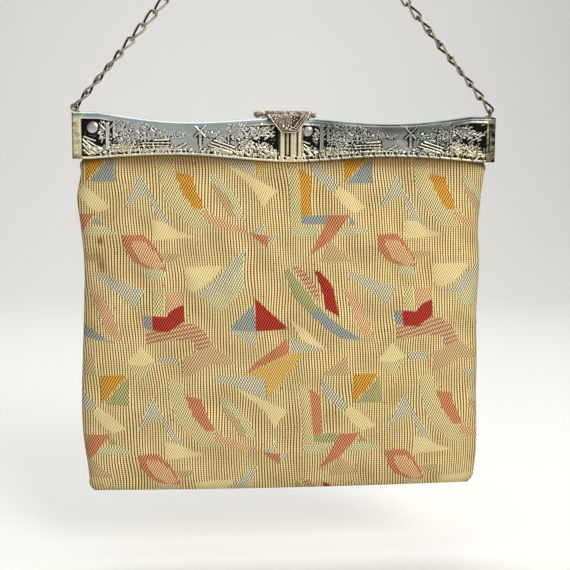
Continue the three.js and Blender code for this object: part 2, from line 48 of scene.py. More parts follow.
# Frame, the same sizes as the solids
HALF_LENGTH = 100.5
HALF_DEPTH = 6.8
FRAME_TOP = -113.0
FRAME_BOTTOM = -134.7
TOP_EDGE = {"level": FRAME_TOP, "flat_from": 88.0, "waist": 47.0, "waist_rise": -4.1, "middle_rise": -1.7}
LOW_EDGE = {"level": FRAME_BOTTOM, "flat_from": 92.0, "waist": 51.0, "waist_rise": 2.2, "middle_rise": -0.6}
RAIL_GAP = 0.4
RAIL_WALL = 1.4
FACE_THICKNESS = 1.5
EDGE_ROUND = 0.9
LOW_ROUND = 0.6
TOP_ROLL = 1.7
PANEL = {"end": 4.2, "top": 3.2, "bottom": 3.7, "left": -4.3, "right": 7.0}
SEW_HOLE = {"count": 36, "spacing": 5.3, "shift": 1.2, "radius": 0.6, "above_edge": 1.7, "depth": 1.1}
HINGE = {"y": 2.4, "z": FRAME_BOTTOM + 2.4}
HINGE_EAR = {"from": 2.8, "gap": 0.2, "front": -4.6, "behind": 2.2, "half_height": 2.0, "round": 0.3}
RIVET = {"inside": 3.0, "proud": 0.3, "shank": 0.8, "head": 1.7, "rise": 0.9}
# Columns along each rail and rows down its face
FRONT_GRID = (841, 84)
BACK_GRID = (301, 40)

# Clasp
BARREL = {"y": 3.4, "z": -112.6, "radius": 1.7}
FLAP = {"half": 10.1, "top": -113.1, "tall": 8.8, "straight": 0.5, "tip": 3.2}
FLAP_SIDE = {"shoulder": 8.2, "below": 2.5, "beside": 1.1, "above": 0.2}
FLAP_FACE = {"y": -9.9, "thick": 1.4, "bend": 1.3, "rim_rise": 0.35}
# Pattern on the flap. Right: two lines and a row of leaning cells, by distance from the rim. Elsewhere: a
# lattice of falling and rising lines
FLAP_PATTERN = {"lines": (1.15, 2.5), "line": 0.25, "cells": 1.8, "cell": 0.35, "cell_step": 1.5,
                "cell_lean": 0.7, "falling": 0.8, "rising": 1.1, "rising_slope": 1.4}
# Small bosses near the flap's tip: across, below its top, radius
FLAP_BOSSES = [(-1.2, 6.5, 0.75), (0.6, 7.1, 0.7), (-2.6, 5.6, 0.7), (-0.2, 5.4, 0.6), (1.4, 5.9, 0.5)]
CATCH_STUD = {"radius": 1.4, "rise": 1.2, "below": 4.4}
KNUCKLE = {"from": 10.4, "to": 11.8, "half": 1.45}
PIN_BALL = {"x": -13.9, "radius": 1.9}
PIN_CAP = {"from": 12.1, "to": 14.2, "radius": 1.5}
PIN_RADIUS = 0.8

# Chain
LINK = {"wire": 1.1, "half_width": 1.65, "clear": 0.25}
LINKS_A_SIDE = 18
# Where the chain is wrung, as shares of each side's length from left to right: middle, reach, turn
TWIST = {"left": (0.08, 0.16, -0.8), "right": (0.76, 0.14, -1.0)}
MIDDLE_PITCH = 8.15
EYE = {"x": 100.1, "y": 2.4, "z": FRAME_TOP + 2.4, "ring": 1.45, "wire": 1.1, "foot": 99.0}
WIRE_SIDES = 10
# The eye's shank: height above the frame's top, radius
EYE_SHANK = [(-2, 0), (-2, 0.7), (0.3, 0.7), (0.3, 1.1), (0.42, 1.3), (0.68, 1.3), (0.8, 1.1), (0.85, 0.7),
             (0.95, 0.6), (0.95, 0)]

# Cloth
POUCH_DROP = 161.5
BOTTOM_SAG = 0.9
# Drop below the frame's lower corners, half width left and right, depth front and back,
# squareness at the seams
SECTIONS = np.array([
    (-7.2, 96.4, 96.4, 5.0, 5.0, 14),
    (0.0, 96.5, 96.5, 5.1, 5.0, 14),
    (1.6, 97.6, 97.8, 5.3, 5.0, 13),
    (6.0, 97.5, 97.2, 5.8, 5.1, 10),
    (17.0, 99.4, 96.1, 6.6, 5.4, 7),
    (31.0, 98.1, 95.2, 7.4, 5.8, 6),
    (47.0, 96.8, 96.4, 8.0, 6.1, 5),
    (70.0, 97.2, 95.8, 8.5, 6.3, 5),
    (95.0, 98.3, 96.7, 8.6, 6.3, 5),
    (118.0, 99.1, 97.2, 8.1, 6.1, 5),
    (136.0, 98.5, 97.9, 7.0, 5.5, 6),
    (148.0, 96.9, 97.9, 5.4, 4.4, 8),
    (155.0, 96.2, 97.1, 3.9, 3.3, 10),
    (159.8, 95.7, 96.0, 2.5, 2.2, 12),
    (161.5, 94.2, 94.4, 1.0, 0.9, 12),
    (161.9, 93.8, 94.0, 0.0, 0.0, 12),
])
FULLEST = 8.6
# Rows of points: even rows as far down as the hem, then closer ones
HEM = {"from": 148, "rows_above": 108, "rows": 16}
# How far the motifs swell out, broadly and close by, how far the rest lies back, and the height of ripples
SWELL = {"broad": 1.3, "close": 0.65, "back": 0.88, "ripples": 0.6}
# How far the threads are drawn aside by ripples, and by the motifs up to a limit
WARP = {"ripples": 0.5, "pull": 46, "limit": 1.5}
# Middle across and down, reach along and across, lean in degrees, rise
FRONT_FOLDS = [
    (-80, 30, 24, 6, 8, -1.3),
    (-58, 72, 38, 13, -35, 0.8),
    (76, 52, 26, 7, -18, -1.2),
    (28, 92, 52, 16, 55, 0.8),
    (-34, 122, 40, 9, 14, -0.9),
    (70, 124, 26, 9, 30, 0.9),
    (0, 16, 70, 7, 0, -0.6),
    (-90, 52, 14, 3, 45, -1.0),
    (-65, 36, 6, 1.5, 90, -0.6),
    (-49, 56, 6, 1.5, 90, -0.6),
]
BACK_FOLDS = [
    (-60, 46, 34, 9, 25, -0.9),
    (50, 84, 44, 12, -30, -0.8),
    (-10, 120, 50, 10, 6, -0.7),
]
RIB_PITCH = 1.27
PICK_PITCH = 2.16
RIB_RISE = 0.24
COLUMNS_A_RIB = 5
# The woven repeat: its size, where it starts on each side, and how far it leans for each millimetre down
REPEAT = (122.0, 106.0)
FRONT_START = (27.2, 0.4)
BACK_START = (-46.0, -38.0)
LEAN = 0.05
# How far the rows of dots fall for each rib across
ROW_SLOPE = 0.05
# How far the stripes of the hatched weave rise for each rib across
STRIPE_RISE = 0.15
# Weaves in the upper and the lower band, and the outlines, across and down in the repeat
MOTIFS = {
    ("pale", "pale"): [
        "65,1.5 73.5,5 80.5,9 91,14.5 87,17.5 83.5,23 81,17.5 76,10.5",
        "-2,12 3.5,15.5 11.5,22.5 5,25 0.5,22 -5,15.5",
        "30,28.5 36.5,29.5 42,33.5 50.5,36.5 36,37.5 30,38",
        "43.5,50.5 62.5,49.5 56,56.5 47.5,62 44,60.5",
        "92.5,75 100,80.5 111.5,91.5 105.5,89 97,84.5",
        "21,88 28,95 20.5,97.5 13,96.5",
    ],
    ("mist", "mist"): [
        "58,5 64.5,10 71.5,18.5 74,28.5 72,27 70,27 68,20 63,13 59,10.5",
        "96.5,31.5 111,31 107,36 96.5,35.5",
        "-2.5,32.5 7.5,31.5 14.5,35 -4.5,35.5",
        "24.5,51.5 32,50.5 35,55 27.5,56",
        "71.5,48.5 71.5,60 65,66.5 59.5,71 53,66 56,64.5 62,59.5",
    ],
    ("white", "white"): [
        "25.5,6.5 30.5,15.5 39.5,31.5 33,27.5 30.5,21.5 29,16.5 23.5,19 17,23.5 21,15",
        "106.5,-2.5 120,12 116,14.5 111.5,10.5 107,5.5",
        "76,34 82,31.5 83.5,27 83.5,33 81,35",
        "85.5,36 90.5,35 85.5,41",
        "74,41.5 71.5,48.5 62,59.5 56,64.5 48,64.5 53.5,60 62.5,52 68.5,45.5",
        "-1.5,51.5 7.5,54.5 18.5,59.5 24.5,61 18.5,70 14,65 4.5,57.5",
        "63.5,80.5 76,81 75.5,89",
        "52,-4 69,-4 80,-2.5 79.5,7.5 67,1.5",
        "92,83.5 109.5,91 92.5,91",
        "28,93 39.5,93 38,96.5 28.5,96",
    ],
    ("dash", "dash"): [
        "33,-2.5 40.5,-1.5 41.5,5 45,16.5 50.5,23 57,23 61,27.5 56,32 48,31.5 42,25 37,19 34.5,9.5",
        "95.5,-1 100.5,4 101.5,31 96.5,30.5",
        "28,61.5 32.5,61.5 32.5,71 27.5,73",
        "13,96.5 20.5,97.5 28,95 20.5,104",
    ],
    ("hatch", "hatch"): [
        "23,81 42,76 46.5,77 51,80 55,87 47.5,90.5 46,85.5 37.5,84.5 23,87",
        "94.5,49.5 99,50.5 104,56 107.5,62.5 107.5,66.5 104.5,64.5",
    ],
    ("mauve", "mauve"): [
        "59,10.5 63,13 68,20 70,27 66.5,26.5 63,19 59.5,14",
        "114.5,38 125,48 108.5,48",
        "32,44 42.5,44 42,46 35.5,48.5",
        "47.5,90.5 55,87.5 67,96.5 54.5,96 47,100 41,102.5 40.5,93.5",
        "106.5,102.5 120,92.5 120.5,102.5",
    ],
    ("grey", "green"): [
        "13.5,-3 14,10.5 1,10.5",
        "102,26 115,26 113,30.5 101.5,30",
        "3,27 7,30.5 1.5,30.5",
    ],
    ("grey", "grey"): [
        "22.5,73 26.5,73 26.5,80 22.5,79",
        "75.5,67.5 76,80.5 62.5,80",
        "101.5,71.5 106.5,69 111.5,74 117,78.5 126,84.5 132.5,87 117,84.5 110,80",
    ],
    ("green", "green"): [
        "93,50.5 98.5,58 104,65 106.5,70 101.5,71.5 94.5,64 91.5,52.5",
    ],
    ("red", "red"): [
        "26.5,73 33.5,73.5 37,69.5 42,67.5 42,75.5 34,80.5 26.5,80",
        "76,64.5 92,80 76,80.5",
        "105.5,51.5 108.5,52.5 113.7,58.3 115.1,64.3 116.6,74.2 112.6,71.6 110.1,70.3 109.4,64 107.6,57",
    ],
    ("coral", "coral"): [
        "75,34 85.5,36 84.5,41.5",
        "115,26 125.5,25.5 115.5,37.5 103,46 107.5,39.5",
        "15.5,35.5 25.5,35 30,39.5 33,45 35.5,52 25.5,50.5 20,48 16.5,43",
        "90.5,84 91.5,91 78,97.5 70,102 75,96 83,90",
    ],
    ("orange", "orange"): [
        "0,-3.5 13.5,-4 0,10.5",
    ],
    ("orange", "coral"): [
        "41.5,5.5 49.5,7 51,12.5 55.5,23 50.5,23 45,15",
        "100.5,3 106,7 106,26 101.5,26",
    ],
    ("amber", "amber"): [
        "79,97.5 91.5,91.5 98.5,92 89.5,103 80.5,113.5 80,103.5 72,101.5",
    ],
    ("comb", "comb"): [
        "54.5,23 59,26 75.5,33.5 75,35 61,31.5 54,27.5",
        "19.8,38.2 26,38.5 30.5,43 34.5,50 30.5,51.3 23.5,47.6 20.5,43",
        "33,62 42.5,62 42,67.5 37,69.5 33.5,71.5 33.5,66.5",
        "-3.5,59.5 2.5,63.5 7.5,71 12,86 5,82.5 1,70.5",
    ],
}
# Each weave: its small repeat, the colour of its thread and of its gaps; None is a striped thread
THREADS = {
    "pale": ("dots", (246, 232, 178), (182, 154, 92)),
    "mist": ("net", (244, 236, 192), (112, 104, 58)),
    "white": ("net", (248, 239, 206), (62, 56, 42)),
    "dash": ("dots", (255, 238, 174), (58, 32, 12)),
    "hatch": ("dots", None, (76, 24, 16)),
    "mauve": ("dots", (232, 206, 150), (96, 58, 34)),
    "grey": ("dots", (188, 193, 184), (3, 3, 3)),
    "green": ("dots", (208, 204, 138), (30, 30, 14)),
    "red": ("dots", (206, 66, 50), (44, 4, 4)),
    "coral": ("dots", (243, 161, 111), (50, 12, 8)),
    "orange": ("dots", (255, 186, 68), (40, 18, 4)),
    "amber": ("net", (244, 216, 126), (150, 86, 20)),
    "comb": ("net", (255, 224, 166), (128, 36, 18)),
}
STRIPES = ((246, 220, 166), (226, 152, 112))
# The ribs' thread and the gaps between them, each in two shades, specks and stains on the cloth, and the
# colour of its painted shade
STRAW = ((255, 232, 172), (230, 203, 134))
STRAW_FIBRE = (250, 236, 190)
GAP = ((104, 72, 22), (64, 43, 9))
SPECK = (70, 50, 24)
STAIN = (110, 58, 14)
CLOTH_SHADE_COLOUR = (86, 54, 8)
# Number of waves of each noise in a metre
NOISE = {"cloudy": 60, "fine": 900, "specks": 640, "patches": 55, "brushed": 170, "pits": 1900,
         "strands": 1400, "paper": 3}
# How far from its motifs a weave is still worked out
OUTSIDE = 4.0
# Rows and columns to each side over which the cloth's forms are averaged
WINDOW = {"broad": (3, 10), "close": (1, 4), "pull": (4, 16), "wide": (6, 24), "narrow": (1, 6)}
# Painted shade on the cloth: darker at the edges, with its reach at the seams and the hem, shade in creases,
# and a painted shadow under the frame as pairs of strength and reach
CLOTH_SHADE_SPREAD = {"edges": 0.45, "seam": 2.5, "hem": 3, "creases": 0.2, "near": (0.68, 2.8), "far": (0.2, 7)}
# Where the front's weave is drawn out of true: middle, reach and shift, each across and down
DRAWN = [
    (0, 28, 130, 26, 1.3, 0.8),
    (65, 70, 26, 30, 1.0, 1.8),
    (70, 40, 30, 20, 0.8, 0.6),
    (-42, 118, 34, 24, 1.7, -0.9),
]
# Across, down, reach across, reach down, strength of each stain on the front
STAINS = [
    (-88.5, 38.3, 1.4, 1.6, 1.0),
    (-91.7, 45.6, 3.5, 2.5, 0.5),
    (-88.1, 50.8, 2.2, 4.5, 0.75),
    (-84.0, 57.5, 2.5, 3.0, 0.35),
    (-89.5, 69.0, 4.0, 6.0, 0.6),
    (-83.5, 73.0, 5.0, 3.0, 0.7),
    (-93.0, 80.0, 2.5, 5.0, 0.4),
]
# One stitch: share of its length, across, depth, height above the frame's lower edge
STITCH = np.array([
    (0.0, 0.0, -5.7, 1.8),
    (0.25, 0.2, -6.75, 1.65),
    (0.5, 0.6, -6.95, 0.8),
    (0.75, 1.0, -6.5, -0.2),
    (1.0, 1.3, -5.5, -0.5),
])
STITCH_RADIUS = 0.26
SEWING_THREAD = ((48, 35, 22), (96, 76, 48))

# Cast panels: where the relief starts along X, the panel's two ends, the seed of its small knobs
PANELS = [
    (-96.3, -96.3, -4.3, 5),
    (4.0, 7.0, 96.3, 17),
]
RELIEF_LENGTH = 92.3
# Upright bars between the panels: from, to
BARS = [(-3.8, -1.4), (1.1, 4.2), (4.6, 6.7)]
# The relief's plain forms, along the panel and above its foot
BALL = (5.3, 10.8, 2.7, 2.7)
TRUNKS = [(12.1, 1.1, 0.2, 12.8), (15.1, 0.8, 5.0, 12.6), (68.2, 0.5, 2.6, 8.0)]
HILL = {"middle": 48.1, "top": 5.0, "left_slope": 1.18, "right_slope": 0.81}
BANK = {"top": 5.6, "slope": 0.75}
# How high each kind of form stands, as a share of the relief's full height
STANDS = {"hill": 0.16, "bank": 0.5, "trunk": 0.75, "house": 0.8, "ball": 0.95}
# How deep the panels are sunk: in all, more near their two ends, more low down, and on the back
SUNK = {"ground": 0.4, "ends": 0.55, "low": 0.25, "back": 0.55}
END_REACH = {"first": 13, "last": 14}
# The lip over each panel's ends, the least height of the relief, and the ground and the bars of the pillar
PROUD = {"lip": 0.15, "least": 0.35, "pillar": -0.5, "bars": 0.8}
# Clumps of small cast knobs: middle along and up, half length, half height, count, knob radius, rise
CLUMPS = [
    (9.2, 8.5, 1.6, 5.0, 80, 0.375, 0.75),
    (18.0, 9.5, 3.5, 3.5, 140, 0.375, 0.8),
    (25.5, 9.6, 6.0, 2.4, 200, 0.375, 0.75),
    (21.5, 4.5, 6.0, 2.8, 240, 0.4125, 0.9),
    (30.0, 6.8, 6.0, 1.8, 140, 0.3375, 0.7),
    (38.0, 6.2, 5.0, 1.4, 120, 0.315, 0.6),
    (17.0, 0.6, 9.0, 1.8, 260, 0.375, 0.8),
    (33.0, 4.2, 8.0, 0.9, 100, 0.3, 0.6),
    (45.3, 5.4, 2.6, 1.2, 48, 0.315, 0.6),
    (60.0, 6.6, 3.6, 1.2, 88, 0.315, 0.7),
    (64.5, 4.6, 4.0, 1.4, 100, 0.315, 0.65),
    (72.6, 8.8, 4.2, 3.8, 380, 0.3375, 0.85),
    (77.4, 2.6, 3.6, 2.8, 200, 0.4125, 0.95),
    (84.0, 2.4, 5.0, 2.2, 180, 0.45, 0.9),
    (88.0, 0.0, 4.0, 1.6, 88, 0.5625, 1.0),
    (81.5, 9.8, 3.0, 2.6, 120, 0.375, 0.7),
    (40.0, -0.6, 8.0, 0.9, 120, 0.3, 0.7),
    (64.0, -0.4, 8.0, 1.0, 120, 0.315, 0.7),
]
# Houses: middle, foot, width, height
HOUSES = [
    (25.2, 4.2, 3.8, 4.6),
    (28.6, 4.4, 2.6, 3.2),
    (32.2, 4.6, 3.6, 4.4),
    (36.2, 4.6, 2.2, 2.8),
    (60.2, 5.2, 2.6, 3.0),
]
# Ridges drawn as lines: from along and up, to along and up, half width, rise
RIDGES = [
    (12.1, 8.0, 9.0, 11.6, 0.35, 0.7),
    (12.4, 9.0, 15.4, 12.6, 0.35, 0.7),
    (12.0, 10.0, 10.2, 13.2, 0.3, 0.6),
    (0.8, 5.2, 7.5, -1.0, 0.6, 0.7),
    (0.6, 3.4, 5.0, -1.8, 0.5, 0.7),
    (2.6, 5.0, 9.5, 0.2, 0.4, 0.6),
    (1.2, 6.6, 6.4, 4.6, 0.35, 0.6),
    (27.5, 2.2, 41.0, 1.9, 0.3, 0.9),
    (27.8, 0.9, 40.6, 0.6, 0.28, 0.8),
    (31.0, -0.8, 46.0, -1.2, 0.3, 0.7),
    (42.0, -1.6, 48.0, 1.5, 0.45, 0.8),
    (33.5, 3.3, 40.0, 3.4, 0.45, 0.85),
    (37.2, 3.3, 37.2, 6.4, 0.22, 0.7),
    (37.2, 6.4, 39.6, 3.6, 0.2, 0.6),
    (52.3, 10.2, 57.4, 5.2, 0.38, 0.8),
    (57.3, 10.3, 52.4, 5.1, 0.38, 0.8),
    (55.0, 1.5, 55.0, 6.6, 0.8, 0.6),
    (59.0, 1.6, 69.0, -0.9, 0.35, 0.7),
    (60.0, 2.8, 70.0, 0.3, 0.35, 0.7),
    (61.5, 3.9, 71.0, 1.5, 0.35, 0.7),
]
# Beds of leaves: middle along and up, half length, half height, count, length and width of a leaf,
# lean in degrees, rise
LEAVES = [
    (85.6, 9.4, 6.0, 3.4, 46, 1.7, 0.42, 28, 0.9),
    (80.0, 10.0, 2.6, 2.6, 20, 1.2, 0.4, 120, 0.7),
    (88.0, -0.8, 4.5, 1.8, 40, 1.5, 0.45, 40, 1.0),
    (5.0, 0.6, 5.0, 2.4, 40, 1.7, 0.4, -40, 0.95),
    (20.0, -1.2, 12.0, 1.2, 70, 1.0, 0.35, 60, 0.8),
    (50.0, -1.8, 26.0, 0.8, 90, 0.9, 0.32, 70, 0.7),
    (75.0, -0.6, 7.0, 1.4, 44, 1.0, 0.36, 110, 0.8),
]
FENCE_POSTS = {"from": 28.4, "step": 2.3, "count": 6, "foot": 0.6, "top": 2.3, "half": 0.25, "rise": 0.8}
# A groove beside each end of the frame's face: place along X, half width, depth on the left and the right
END_GROOVE = {"x": 97.4, "half": 0.3, "left": 0.07, "right": 0.25}

# Metals: bright colour; warm colour, also a painted reflection of the cloth on the rails' low band; dull
# colour, also a painted reflection on the rails' plain upper ground; tarnished colour; roughness
METALS = {
    "cast_silver": ((180, 181, 176), (232, 217, 170), (160, 169, 168), (9, 8, 7), 0.27),
    "aged_bronze": ((240, 228, 206), (206, 186, 156), (96, 86, 72), (12, 9, 7), 0.3),
    "chain_wire": ((170, 162, 146), (140, 122, 92), (84, 78, 68), (18, 15, 12), 0.26),
}
POLISHED = (253, 244, 218)
# Colour of the painted shade and tarnish laid over the rails
SHADE_AND_TARNISH_COLOUR = (31, 31, 27)
# Tarnish of plain surfaces, where about 0.1 is clean and 0.5 is black
TARNISH = {"rail": 0.05, "knuckle": 0.25, "rivet": 0.15, "flap_top": 0.35, "pin": 0.28, "wire": 0.28,
           "eye": 0.2}
# Tarnish on the rails' relief and low band, painted shade on the right half, tarnish in hollows and sunk
# ground, and on the flap's face
TARNISH_AND_PAINTED_SHADE = {"relief": 0.08, "low_band": 0.14, "right": 0.17, "hollows": 5.5, "ground": 0.45}
FLAP_AGED = {"level": 0.47, "hollows": 4.2, "height": 0.8}
# Warmth of the rails' low band, painted there as a reflection of the cloth, less at the waists, and of the
# pillar
WARM = {"low_band": 0.55, "waists": 0.2, "pillar": 0.55}
# Places along X where a rail's looks change, as a middle and a reach or as a start and an end
PLACES = {"pillar": (1.3, 6.2), "waist": (50, 22), "end": (94, 96), "end_shade": (95, 97),
          "outermost": (97.8, 98.6), "right": (8, 14)}
# Painted shade on the rails: darker over the front rail's right half, painted dark reflections on its upper
# band and top roll, darker end blocks with a painted shadow at the right end's outer edge, and darker over
# the back rail
RAIL_SHADE_AND_TARNISH = {"right": 0.26, "upper": 0.3, "roll": 0.34, "right_end": 0.66, "right_edges": 0.18, "outermost": 0.2,
        "left_end": 0.2, "left_low": 0.5, "left_roll": 0.2, "back": 0.18}

# Studio: the floor bends up into a wall
FLOOR = {"level": -335, "front": -4000, "bend_from": 900, "bend": 700, "top": 4000, "half": 5000}
PAPER = ((238, 236, 232), (232, 230, 226))
SKY = {"colour": (226, 230, 236), "strength": 0.22}
# Lights: name, place in metres, what it aims at, size, power, colour
LIGHTS = [
    ("key_light", (0.55, -0.95, 0.5), (0, 0, -0.19), 0.6, 10.8, (1.0, 0.97, 0.92)),
    ("fill_light", (-0.4, -1.15, -0.05), (0, 0, -0.19), 0.8, 1.6, (0.95, 0.97, 1.0)),
    ("top_light", (-0.05, 0.12, 0.9), (0, 0, -0.19), 1.2, 11.0, (0.95, 0.98, 1.0)),
    ("wall_light", (0.0, 0.5, 1.2), (0, 1.6, 0.1), 1.2, 8.0, (1.0, 1.0, 1.0)),
]
# The view: turned to the left of the front, looking a little down, with a slight roll
VIEW = {"azimuth": -5.20, "elevation": 7.18, "roll": 0.45, "distance": 454.2, "lens": 58.68, "sensor": 36,
        "aim": (-0.3, 0.0, -194.9)}


def smooth_step(value, low, high):
    """An S-shaped rise from 0 at low to 1 at high."""
    share = np.clip((value - low) / (high - low), 0, 1)
    return share * share * (3 - 2 * share)


def through(at, places, values):
    """A smooth curve through a table: a cubic on each step, with slopes from the neighbouring rows."""
    slopes = np.gradient(values, places)
    step = np.clip(np.searchsorted(places, at, side="right") - 1, 0, len(places) - 2)
    wide = places[step + 1] - places[step]
    s = np.clip((at - places[step]) / wide, 0, 1)
    start = (1 + 2 * s) * (1 - s) ** 2 * values[step] + s * (1 - s) ** 2 * wide * slopes[step]
    return start + s * s * (3 - 2 * s) * values[step + 1] + s * s * (s - 1) * wide * slopes[step + 1]


def spot(a, b, middle, level, wide, tall):
    """A soft oval spot, 1 at its middle: a Gauss curve each way."""
    return np.exp(-((a - middle) / wide) ** 2 - ((b - level) / tall) ** 2)


def unit(vectors):
    """The directions of one or more vectors, with length 1."""
    return vectors / np.linalg.norm(vectors, axis=-1, keepdims=True)


def soften(values, reach):
    """Averages a grid over so many rows and columns to each side, three times each way."""
    for axis, half in enumerate(reach):
        for _ in range(3):
            padded = np.pad(values, [(half + 1, half) if a == axis else (0, 0) for a in (0, 1)], mode="edge")
            total = np.cumsum(padded, axis=axis)
            size = values.shape[axis]
            high = np.take(total, np.arange(2 * half + 1, 2 * half + 1 + size), axis=axis)
            low = np.take(total, np.arange(size), axis=axis)
            values = (high - low) / (2 * half + 1)
    return values


def ripples(x, z, count, shortest, longest, seed):
    """A smooth wandering height between about -1 and 1: a sum of sines with random directions and lengths."""
    random = np.random.default_rng(seed)
    total = np.zeros_like(x)
    for _ in range(count):
        turn, shift = random.uniform(0, TURN, 2)
        length = random.uniform(shortest, longest)
        total += np.sin(TURN * (x * np.cos(turn) + z * np.sin(turn)) / length + shift)
    return total / np.sqrt(count)


def grid_faces(rows, columns, around=False):
    """Quads of a grid of points stored row after row; around joins the last column to the first."""
    index = np.arange(rows * columns).reshape(rows, columns)
    if around:
        index = np.concatenate([index, index[:, :1]], axis=1)
    corners = (index[:-1, :-1], index[1:, :-1], index[1:, 1:], index[:-1, 1:])
    return np.stack(corners, axis=-1).reshape(-1, 4)


def facing_out(points, faces):
    """Turns all faces round if they enclose a negative volume about the middle of the points."""
    p = points - points.mean(axis=0)
    a, b, c, d = (p[faces[:, k]] for k in range(4))
    volume = np.sum(np.cross(b - a, c - a) * a) + np.sum(np.cross(c - a, d - a) * a)
    return faces if volume > 0 else faces[:, ::-1]


def sweep(loops):
    """A closed body through loops of points, one row each, with a flat cap at both ends."""
    rows, count = loops.shape[:2]
    points = loops.reshape(-1, 3)
    sides = grid_faces(rows, count, around=True)
    turned = facing_out(points, sides)
    caps = [list(range(count)), list(range((rows - 1) * count, rows * count))[::-1]]
    if turned is not sides:
        caps = [cap[::-1] for cap in caps]
    return points, turned.tolist() + [cap[::-1] for cap in caps]


def weld(points, faces):
    """Merges points that coincide and drops faces left without area, so that seams and poles are closed."""
    _, first, place = np.unique(np.round(points, 4), axis=0, return_index=True, return_inverse=True)
    place = place.reshape(-1)
    kept = [list(dict.fromkeys(place[face].tolist())) for face in faces]
    return points[first], [face for face in kept if len(face) > 2]


def joined(parts):
    """Several bodies as one list of points and one of faces."""
    start = 0
    points, faces = [], []
    for body_points, body_faces in parts:
        points.append(body_points)
        faces += [[corner + start for corner in face] for face in body_faces]
        start += len(body_points)
    return np.concatenate(points), faces


def lathe(profile, middle, axis, sides=28):
    """A round body: (along, radius) pairs turned about a line through middle along X, Y or Z."""
    along, radius = np.array(profile, float).T
    turn = np.linspace(0, TURN, sides, endpoint=False)
    others = [a for a in range(3) if a != axis]
    loops = np.zeros((len(along), sides, 3))
    loops[..., axis] = along[:, None]
    loops[..., others[0]] = radius[:, None] * np.cos(turn)
    loops[..., others[1]] = radius[:, None] * np.sin(turn)
    points = loops.reshape(-1, 3) + np.array(middle, float)
    return weld(points, facing_out(points, grid_faces(len(along), sides, around=True)))


def rounded(low, high, radius, steps=4):
    """A block with rounded edges: a small sphere of directions, pulled apart to the block's corners."""
    low, high = np.array(low, float), np.array(high, float)
    half = (high - low) / 2 - radius
    quarter = np.linspace(0, np.pi / 2, steps + 1)
    around = np.concatenate([quarter + k * np.pi / 2 for k in range(4)])
    down = np.concatenate([quarter, quarter + np.pi / 2])[:, None]
    corner_x = np.repeat([1, -1, -1, 1], steps + 1)
    corner_y = np.repeat([1, 1, -1, -1], steps + 1)
    corner_z = np.repeat([1, -1], steps + 1)[:, None]
    x = corner_x * half[0] + radius * np.sin(down) * np.cos(around)
    y = corner_y * half[1] + radius * np.sin(down) * np.sin(around)
    z = corner_z * half[2] + radius * np.cos(down) + 0 * around
    points, faces = sweep(np.stack([x, y, z], axis=-1) + (low + high) / 2)
    return weld(points, faces)


def closed_ring(loops):
    """A closed ring through loops of points, one row each, the last joined to the first."""
    rows, count = loops.shape[:2]
    points = loops.reshape(-1, 3)
    faces = grid_faces(rows + 1, count, around=True) % len(points)
    return points, facing_out(points, faces).tolist()


def circles(line, aside, upward, radius, sides):
    """A circle of points about each point of a line, in the plane of the two directions given there."""
    turn = np.linspace(0, TURN, sides, endpoint=False)[:, None]
    return line[:, None] + radius * (np.cos(turn) * aside[:, None] + np.sin(turn) * upward[:, None])


def tube(path, radius, sides=8):
    """A round thread along a path: circles square to the path's direction, kept upright."""
    upright = (0.31, 0.2, 0.93)
    along = unit(np.gradient(path, axis=0))
    aside = unit(np.cross(along, upright))
    return sweep(circles(path, aside, np.cross(aside, along), radius, sides))


def bevelled(low, high, radius, bevel):
    """The profile of a round rod from low to high, with its two rims cut off."""
    rims = [(low, radius - bevel), (low + bevel, radius), (high - bevel, radius), (high, radius - bevel)]
    return [(low, 0), *rims, (high, 0)]


def even(points, piece, warm):
    """The same tarnish and warmth at every point of a plain piece."""
    return {"hollow": np.full(len(points), TARNISH[piece]), "warm": np.full(len(points), warm)}


def smooth_mesh(name, points, faces, material):
    """A mesh with smooth shading from points in millimetres and a list or an array of faces."""
    mesh = bpy.data.meshes.new(name)
    listed = faces.tolist() if isinstance(faces, np.ndarray) else faces
    mesh.from_pydata((points * METRES).tolist(), [], listed)
    mesh.polygons.foreach_set("use_smooth", np.ones(len(mesh.polygons), bool))
    mesh.materials.append(material)
    return mesh


def shown(name, data):
    """A new object in the scene."""
    thing = bpy.data.objects.new(name, data)
    bpy.context.scene.collection.objects.link(thing)
    return thing


def add_piece(name, points, faces, material, body="root", sharp=None, values=None):
    """A shown piece: its mesh at the origin, its values at each point, and the body it moves with."""
    mesh = smooth_mesh(name, points, faces, material)
    for key, value in (values or {}).items():
        layer = mesh.attributes.new(key, "FLOAT", "POINT")
        layer.data.foreach_set("value", np.ascontiguousarray(value, np.float32).reshape(-1))
    mesh.update()
    if sharp:
        mesh.set_sharp_from_angle(angle=np.radians(sharp))
    piece = shown(name, mesh)
    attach(piece, body)
    return piece


def colour(red, green, blue):
    """A display colour from 0 to 255 as the linear colour that a shader takes."""
    share = np.array([red, green, blue]) / 255
    linear = np.where(share <= 0.04045, share / 12.92, ((share + 0.055) / 1.055) ** 2.4)
    return (*linear.tolist(), 1.0)


